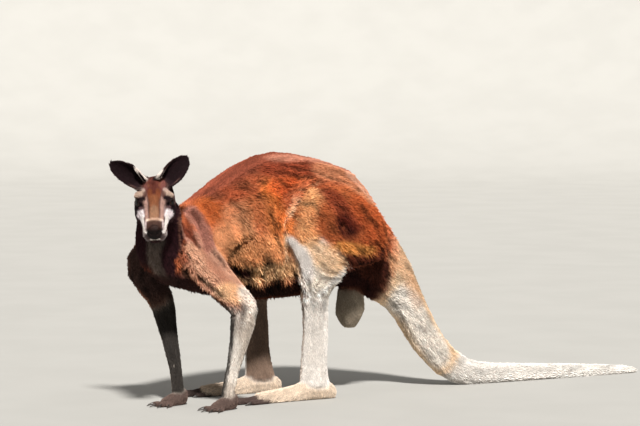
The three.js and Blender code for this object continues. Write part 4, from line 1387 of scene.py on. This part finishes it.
def grow_coat(surface, nearest, fields, recipe, tuft, finish):
    for seed, (name, (slot, parts, half, spacing, ruffle, locks, size)) in enumerate(STRETCHES.items()):
        kept, owner = faces_of(surface, nearest, parts, half)
        triangles = surface.triangles[kept]
        used, index = np.unique(triangles, return_inverse=True)
        index = index.reshape(-1, 3)
        mesh = bpy.data.meshes.new(name)
        mesh.from_pydata(surface.points[used].tolist(), [], index.tolist())
        for field, values in fields.items():
            wide = values.ndim == 2
            made = mesh.attributes.new(field, "FLOAT_VECTOR" if wide else "FLOAT", "POINT")
            made.data.foreach_set("vector" if wide else "value", values[used].ravel())
        unwrap = mesh.attributes.new("unwrap", "FLOAT_VECTOR", "CORNER")
        unwrap.data.foreach_set("vector", unwrapped(surface, triangles, owner, kept).ravel())
        piece = piece_of(name, mesh)
        grow = piece.modifiers.new("coat", "NODES")
        grow.node_group = recipe.tree
        for asked, value in (
            ("Tuft", tuft), ("Finish", finish), ("Spacing", spacing * MM), ("Ruffle", ruffle),
            ("Locks", locks), ("Lock size", size * MM), ("Seed", seed),
        ):
            grow[recipe.inputs[asked]] = value
        apply_modifiers(piece)
        for spent in ("lie", "tuft_length", "tuft_width", "ruffle", "unwrap", "patch"):
            if spent in piece.data.attributes:
                piece.data.attributes.remove(piece.data.attributes[spent])
        show(piece, None, slot)


# ---------------------------------------------------------------------------- finishes


def fur_finish():
    finish = Finish("fur", Roughness=0.9, Specular_IOR_Level=0.1)
    tint = finish.attribute("tint", "Vector")
    tip = finish.attribute("tip")
    shade = finish.attribute("shade")
    wool = finish.attribute("wool")
    mottle = finish.noise(24.0, 4.0)
    # painted shade in the cracks between woolly locks, and painted highlight on their fluffy tips
    cracks = finish.noise(125.0, 2.0).fade(0.55, 0.67)
    fluff = finish.noise(75.0, 3.0).fade(0.45, 0.70)
    level = (0.58 + 0.44 * tip) * (1 + 0.16 * shade) * (0.84 + 0.32 * mottle)
    level = level * (1 - 0.55 * wool * cracks) * (0.9 + 0.25 * wool * fluff)
    colour = finish.scaled(tint, level)
    colour = finish.mix(0.6 * wool * fluff, colour, (1.02, 1.2, 1.3, 1.0), "MULTIPLY")
    colour = finish.mix(0.7 * wool * cracks, colour, (1.0, 0.74, 0.70, 1.0), "MULTIPLY")
    return finish.feed(Base_Color=colour)


def skin_finish():
    finish = Finish("skin", Roughness=0.85, Specular_IOR_Level=0.15)
    tint = finish.attribute("tint", "Vector")
    hairs = finish.noise(420.0, 4.0)
    mottle = finish.noise(24.0, 4.0)
    colour = finish.scaled(tint, (0.36 + 0.3 * hairs) * (0.80 + 0.40 * mottle))
    return finish.feed(Base_Color=colour, Normal=finish.bump(hairs, 1.2 * MM, 0.6))


# Up from this height the nose turns from black to brown.
NOSE_LEVEL, NOSE_TURN = float(from_head((136, 0, 8))[2]), 0.02


def nose_finish():
    finish = Finish("nose leather", Specular_IOR_Level=0.1)
    grains = finish.cells(520.0)
    worn = finish.noise(60.0, 4.0)
    height = finish.node("ShaderNodeSeparateXYZ", {}, {0: finish.place()}, 2)
    top = height.fade(NOSE_LEVEL, NOSE_LEVEL + NOSE_TURN)
    colour = finish.mix(worn.fade(0.35, 0.7), rgba("#0c0606"), rgba("#1a100e"))
    colour = finish.mix(top * 0.8, colour, rgba("#2a140d"))
    return finish.feed(
        Base_Color=colour, Roughness=0.34 + 0.25 * worn, Normal=finish.bump(1 - grains, 0.7 * MM, 0.8)
    )


def eye_finish():
    """A brown iris round a wide dark pupil, under a wet surface."""
    finish = Finish("eye", Roughness=0.08, Coat_Weight=0.1, Coat_Roughness=0.03, Specular_IOR_Level=0.2)
    ring = finish.attribute("iris")
    fibres = finish.noise(700.0, 5.0)
    iris = finish.mix(fibres.fade(0.35, 0.65), rgba("#1a0e09"), rgba("#3a2012"))
    dark = finish.mix(ring.fade(0.50, 0.58), rgba("#050303"), iris)
    colour = finish.mix(ring.fade(0.90, 1.0), dark, rgba("#1c100c"))
    return finish.feed(Base_Color=colour)


def rim_finish():
    """The dark wet edge of the eyelids."""
    finish = Finish("lid rims", Specular_IOR_Level=0.2)
    grains = finish.noise(500.0, 3.0)
    colour = finish.mix(grains.fade(0.35, 0.7), rgba("#0b0606"), rgba("#1c1110"))
    return finish.feed(
        Base_Color=colour, Roughness=0.45 + 0.2 * grains, Normal=finish.bump(grains, 0.3 * MM, 0.5)
    )


def claw_finish():
    finish = Finish("horn", Coat_Weight=0.2, Coat_Roughness=0.3)
    streaks = finish.noise(60.0, 4.0, finish.stretched((1.0, 12.0, 12.0)))
    colour = finish.mix(streaks.fade(0.3, 0.75), rgba("#16110f"), rgba("#43362f"))
    return finish.feed(
        Base_Color=colour, Roughness=0.32 + 0.3 * streaks, Normal=finish.bump(streaks, 0.4 * MM, 0.5)
    )


def floor_finish():
    finish = Finish("floor", Roughness=0.9, Specular_IOR_Level=0.1)
    grain = finish.noise(3.0, 2.0)
    colour = finish.mix(grain.fade(0.3, 0.7), rgba("#a7a6a2"), rgba("#aaa9a5"))
    return finish.feed(Base_Color=colour)


# ------------------------------------------------------------------ eyes, nose and claws


CLEAR_BULGE, CLEAR_FRONT = 0.045, (20, 48)  # a share of the radius, and degrees from the gaze
IRIS_EDGE = 46  # degrees from the gaze
EYE_INSET = 0.3 * MM


def make_eye(name, side):
    """An eyeball with its clear front bulging a little, and how far each point is from the gaze."""
    shape = bmesh.new()
    bmesh.ops.create_uvsphere(shape, u_segments=64, v_segments=40, radius=1.0)
    mesh = mesh_of(f"{name}_eyeball", shape)
    piece = piece_of(f"{name}_eyeball", mesh)
    directions = column(mesh.vertices, "co", 3)
    out = eye_axes(side)[0] @ HEAD_AXES.T
    angle = np.degrees(np.arccos(np.clip(directions @ out, -1, 1)))
    bulge = 1 + CLEAR_BULGE * (1 - fade(angle, *CLEAR_FRONT))
    points = box_middle(f"{name}_eye") + directions * (EYE_RADIUS - EYE_INSET) * bulge[:, None]
    mesh.vertices.foreach_set("co", points.ravel())
    iris = mesh.attributes.new("iris", "FLOAT", "POINT")
    iris.data.foreach_set("value", angle / IRIS_EDGE)
    shade_smooth(mesh)
    return piece


RIM_STEPS, RIM_SIDES = 72, 8
RIM_RADIUS, RIM_ABOVE = 1.1, 0.5  # of the rims' cord, and its middle above the eyeball


def make_lid_rims(name, side):
    """The dark wet edge of both lids, one closed cord laid on the eyeball round the opening."""
    axes = eye_axes(side)
    centre = eye_centre(side)
    shape = bmesh.new()
    edge = []
    for i in range(RIM_STEPS):
        turn = 2 * math.pi * i / RIM_STEPS
        across = LID_REACH[0] * math.cos(turn)
        limit = LID_REACH[1] * (1.0 if math.sin(turn) > 0 else LOWER_LID)
        height = limit * math.copysign(abs(math.sin(turn)) ** 1.5, math.sin(turn))
        along, up = math.tan(math.radians(across)), math.tan(math.radians(height))
        edge.append(unit(axes.T @ np.array((1, along, up))))
    edge = np.array(edge)
    ahead = unit(np.roll(edge, -1, 0) - np.roll(edge, 1, 0))
    middle = EYE_RADIUS / MM + RIM_ABOVE
    loops = []
    for out, run in zip(edge, ahead):
        cross = unit(np.cross(run, out))
        ring = []
        for j in range(RIM_SIDES):
            angle = 2 * math.pi * j / RIM_SIDES
            place = centre + out * (middle + RIM_RADIUS * math.sin(angle))
            place = place + cross * RIM_RADIUS * math.cos(angle)
            ring.append(shape.verts.new(from_head(place)))
        loops.append(ring)
    for i in range(RIM_STEPS):
        for j in range(RIM_SIDES):
            k, m = (i + 1) % RIM_STEPS, (j + 1) % RIM_SIDES
            shape.faces.new((loops[i][j], loops[k][j], loops[k][m], loops[i][m]))
    bmesh.ops.recalc_face_normals(shape, faces=shape.faces)
    mesh = mesh_of(f"{name}_lid_rims", shape)
    shade_smooth(mesh)
    return piece_of(f"{name}_lid_rims", mesh)


PAD_THICKNESS, PAD_RISE, PAD_SUNK_EDGE = 2 * MM, 0.9, 0.2


def make_nose(surface):
    """The bare pad: the skin's own faces there, given a thickness and raised a little."""
    head = in_head(surface.points[surface.triangles].mean(1))
    kept = nose_pad(head) > 0.4
    triangles = surface.triangles[kept]
    used, index = np.unique(triangles, return_inverse=True)
    normals = surface.normals()[used]
    inner = nose_pad(in_head(surface.points[used]))
    raised = surface.points[used] + normals * (PAD_RISE * inner - PAD_SUNK_EDGE)[:, None] * MM
    mesh = bpy.data.meshes.new("nose_pad")
    mesh.from_pydata(raised.tolist(), [], index.reshape(-1, 3).tolist())
    piece = piece_of("nose_pad", mesh)
    thick = piece.modifiers.new("thick", "SOLIDIFY")
    thick.thickness, thick.offset = PAD_THICKNESS, -1
    apply_modifiers(piece)
    shade_smooth(piece.data)
    return piece


CLAWS = {
    "fore": [f"finger_claw_{i}" for i in range(1, 6)],
    "hind": ["fourth_claw", "fifth_claw", "second_claw", "third_claw"],
}
CLAW_SWELL = 0.5  # gives back what rounding takes off


def make_claws(side, paw):
    """The claws of one paw, rounded, and kept above the lowest place of their solids."""
    shapes = [merged_copy(f"{side}_{claw}") for claw in CLAWS[paw]]
    piece = joined(f"{side}_{paw}_claws", shapes)
    lowest = column(piece.data.vertices, "co", 3)[:, 2].min()
    rounded = piece.modifiers.new("rounded", "SUBSURF")
    rounded.levels = rounded.render_levels = 3
    apply_modifiers(piece)
    surface = Surface(piece)
    surface.points += surface.normals() * CLAW_SWELL * MM
    surface.points[:, 2] = np.maximum(surface.points[:, 2], lowest)
    surface.write()
    shade_smooth(piece.data)
    return piece


# ---------------------------------------------------------------------------- assembly


def show(piece, finish, slot, *nodes):
    """Gives a piece its finish, hangs it under the root body, and hides the nodes that it stands in for."""
    if finish:
        piece.data.materials.clear()
        piece.data.materials.append(finish)
    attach(piece, "root")
    if nodes:
        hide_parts(*nodes)


FLOOR_RADIUS, SWEEP_RADIUS, WALL_OUT, WALL_TOP = 12, 5, 0.6, 9.0


def make_floor():
    """A flat round floor that sweeps up far away into a wall all round."""
    rings = [
        (FLOOR_RADIUS + SWEEP_RADIUS * math.sin(t), SWEEP_RADIUS - SWEEP_RADIUS * math.cos(t))
        for t in np.radians(np.arange(0, 81, 5))
    ]
    rings.append((rings[-1][0] + WALL_OUT, WALL_TOP))
    shape = bmesh.new()
    turns = np.linspace(0, 2 * math.pi, 97)[:-1]
    loops = [[shape.verts.new((r * math.cos(t), r * math.sin(t), z)) for t in turns] for r, z in rings]
    shape.faces.new(loops[0])
    for low, high in zip(loops[:-1], loops[1:]):
        for i in range(len(turns)):
            shape.faces.new((low[i - 1], low[i], high[i], high[i - 1]))
    bmesh.ops.recalc_face_normals(shape, faces=shape.faces)
    mesh = mesh_of("floor", shape)
    shade_smooth(mesh)
    mesh.materials.append(floor_finish())
    piece_of("floor", mesh)


OWNER_SPREAD = 5  # rounds by which one part's coat runs into the next one's
LOCK_SPREAD, LOCK_SEED = 9, 5
LOCK_RISE, LOCK_LENGTH = 0.9, 0.14  # of a woolly lock: millimetres of swell, and share of more length
FURROW, FURROW_DEPTHS = 0.66, (0.3, 1.5)  # painted shade in the coat's furrows: how much darker they are, and from how deep
LOCK_HIGHLIGHT, WOOL_HIGHLIGHT = 0.06, 0.10  # painted highlight on its locks: how much lighter they are
SMOOTH_RUFFLE = 0.35
PAD_SINKS = 0.8  # the skin under the bare pad of the nose

make_camera()
make_lights()
make_floor()

skin = make_skin()
surface = Surface(skin)
nearest = nearest_nodes(surface.points)
weights = np.zeros((len(nearest), len(FLESH)))
weights[np.arange(len(nearest)), nearest] = 1
weights = surface.spread(weights, OWNER_SPREAD)
of = dict(zip(FLESH, weights.T))
set_in(surface, weights)
sculpt_body(surface, of)
sculpt_head(surface)
draw_in_the_rim(surface)
sculpt_lids(surface)

normals = surface.normals()
flow = lay_of_the_coat(surface, normals, of)
length, width, lift, wool = fleece(surface, of)
locks = surface.streaks(flow, LOCK_SPREAD, np.random.default_rng(LOCK_SEED))
furrow = fade(-locks, *FURROW_DEPTHS) * wool
raised = wool * np.clip(locks, -2, 2)
surface.points += normals * (raised * LOCK_RISE * MM)[:, None]
tint = markings(surface, normals, of)
# the locks' crests are painted lighter and their furrows darker: painted highlight and shade
lock_highlight = (LOCK_HIGHLIGHT + WOOL_HIGHLIGHT * wool) * np.clip(locks, -1, 2)
rise = np.radians(lift)[:, None]
fields = {
    "lie": flow * np.cos(rise) + normals * np.sin(rise),
    "tuft_length": length * (1 + LOCK_LENGTH * raised),
    "tuft_width": width,
    "ruffle": SMOOTH_RUFFLE + wool,
    "wool": wool,
    "tint": tint * (1 - FURROW * furrow + lock_highlight)[:, None],
}
tuft = piece_of("tuft", tuft_mesh())
grow_coat(surface, nearest, fields, coat_recipe(), tuft, fur_finish())
bpy.data.objects.remove(tuft)

nose = make_nose(surface)
inner = nose_pad(in_head(surface.points))
surface.points -= normals * (PAD_SINKS * inner * MM)[:, None]
surface.write()
painted = skin.data.attributes.new("tint", "FLOAT_VECTOR", "POINT")
painted.data.foreach_set("vector", tint.ravel())
shade_smooth(skin.data)

show(skin, skin_finish(), "rust_fur", *[node for node in FLESH if node != "nose"])
show(nose, nose_finish(), "nose_skin", "nose")
eye_look, rim_look, horn = eye_finish(), rim_finish(), claw_finish()
for name, side in SIDES.items():
    show(make_eye(name, side), eye_look, "eye", f"{name}_eye")
    show(make_lid_rims(name, side), rim_look, "nose_skin")
    for paw, claws in CLAWS.items():
        show(make_claws(name, paw), horn, "claw", *[f"{name}_{claw}" for claw in claws])
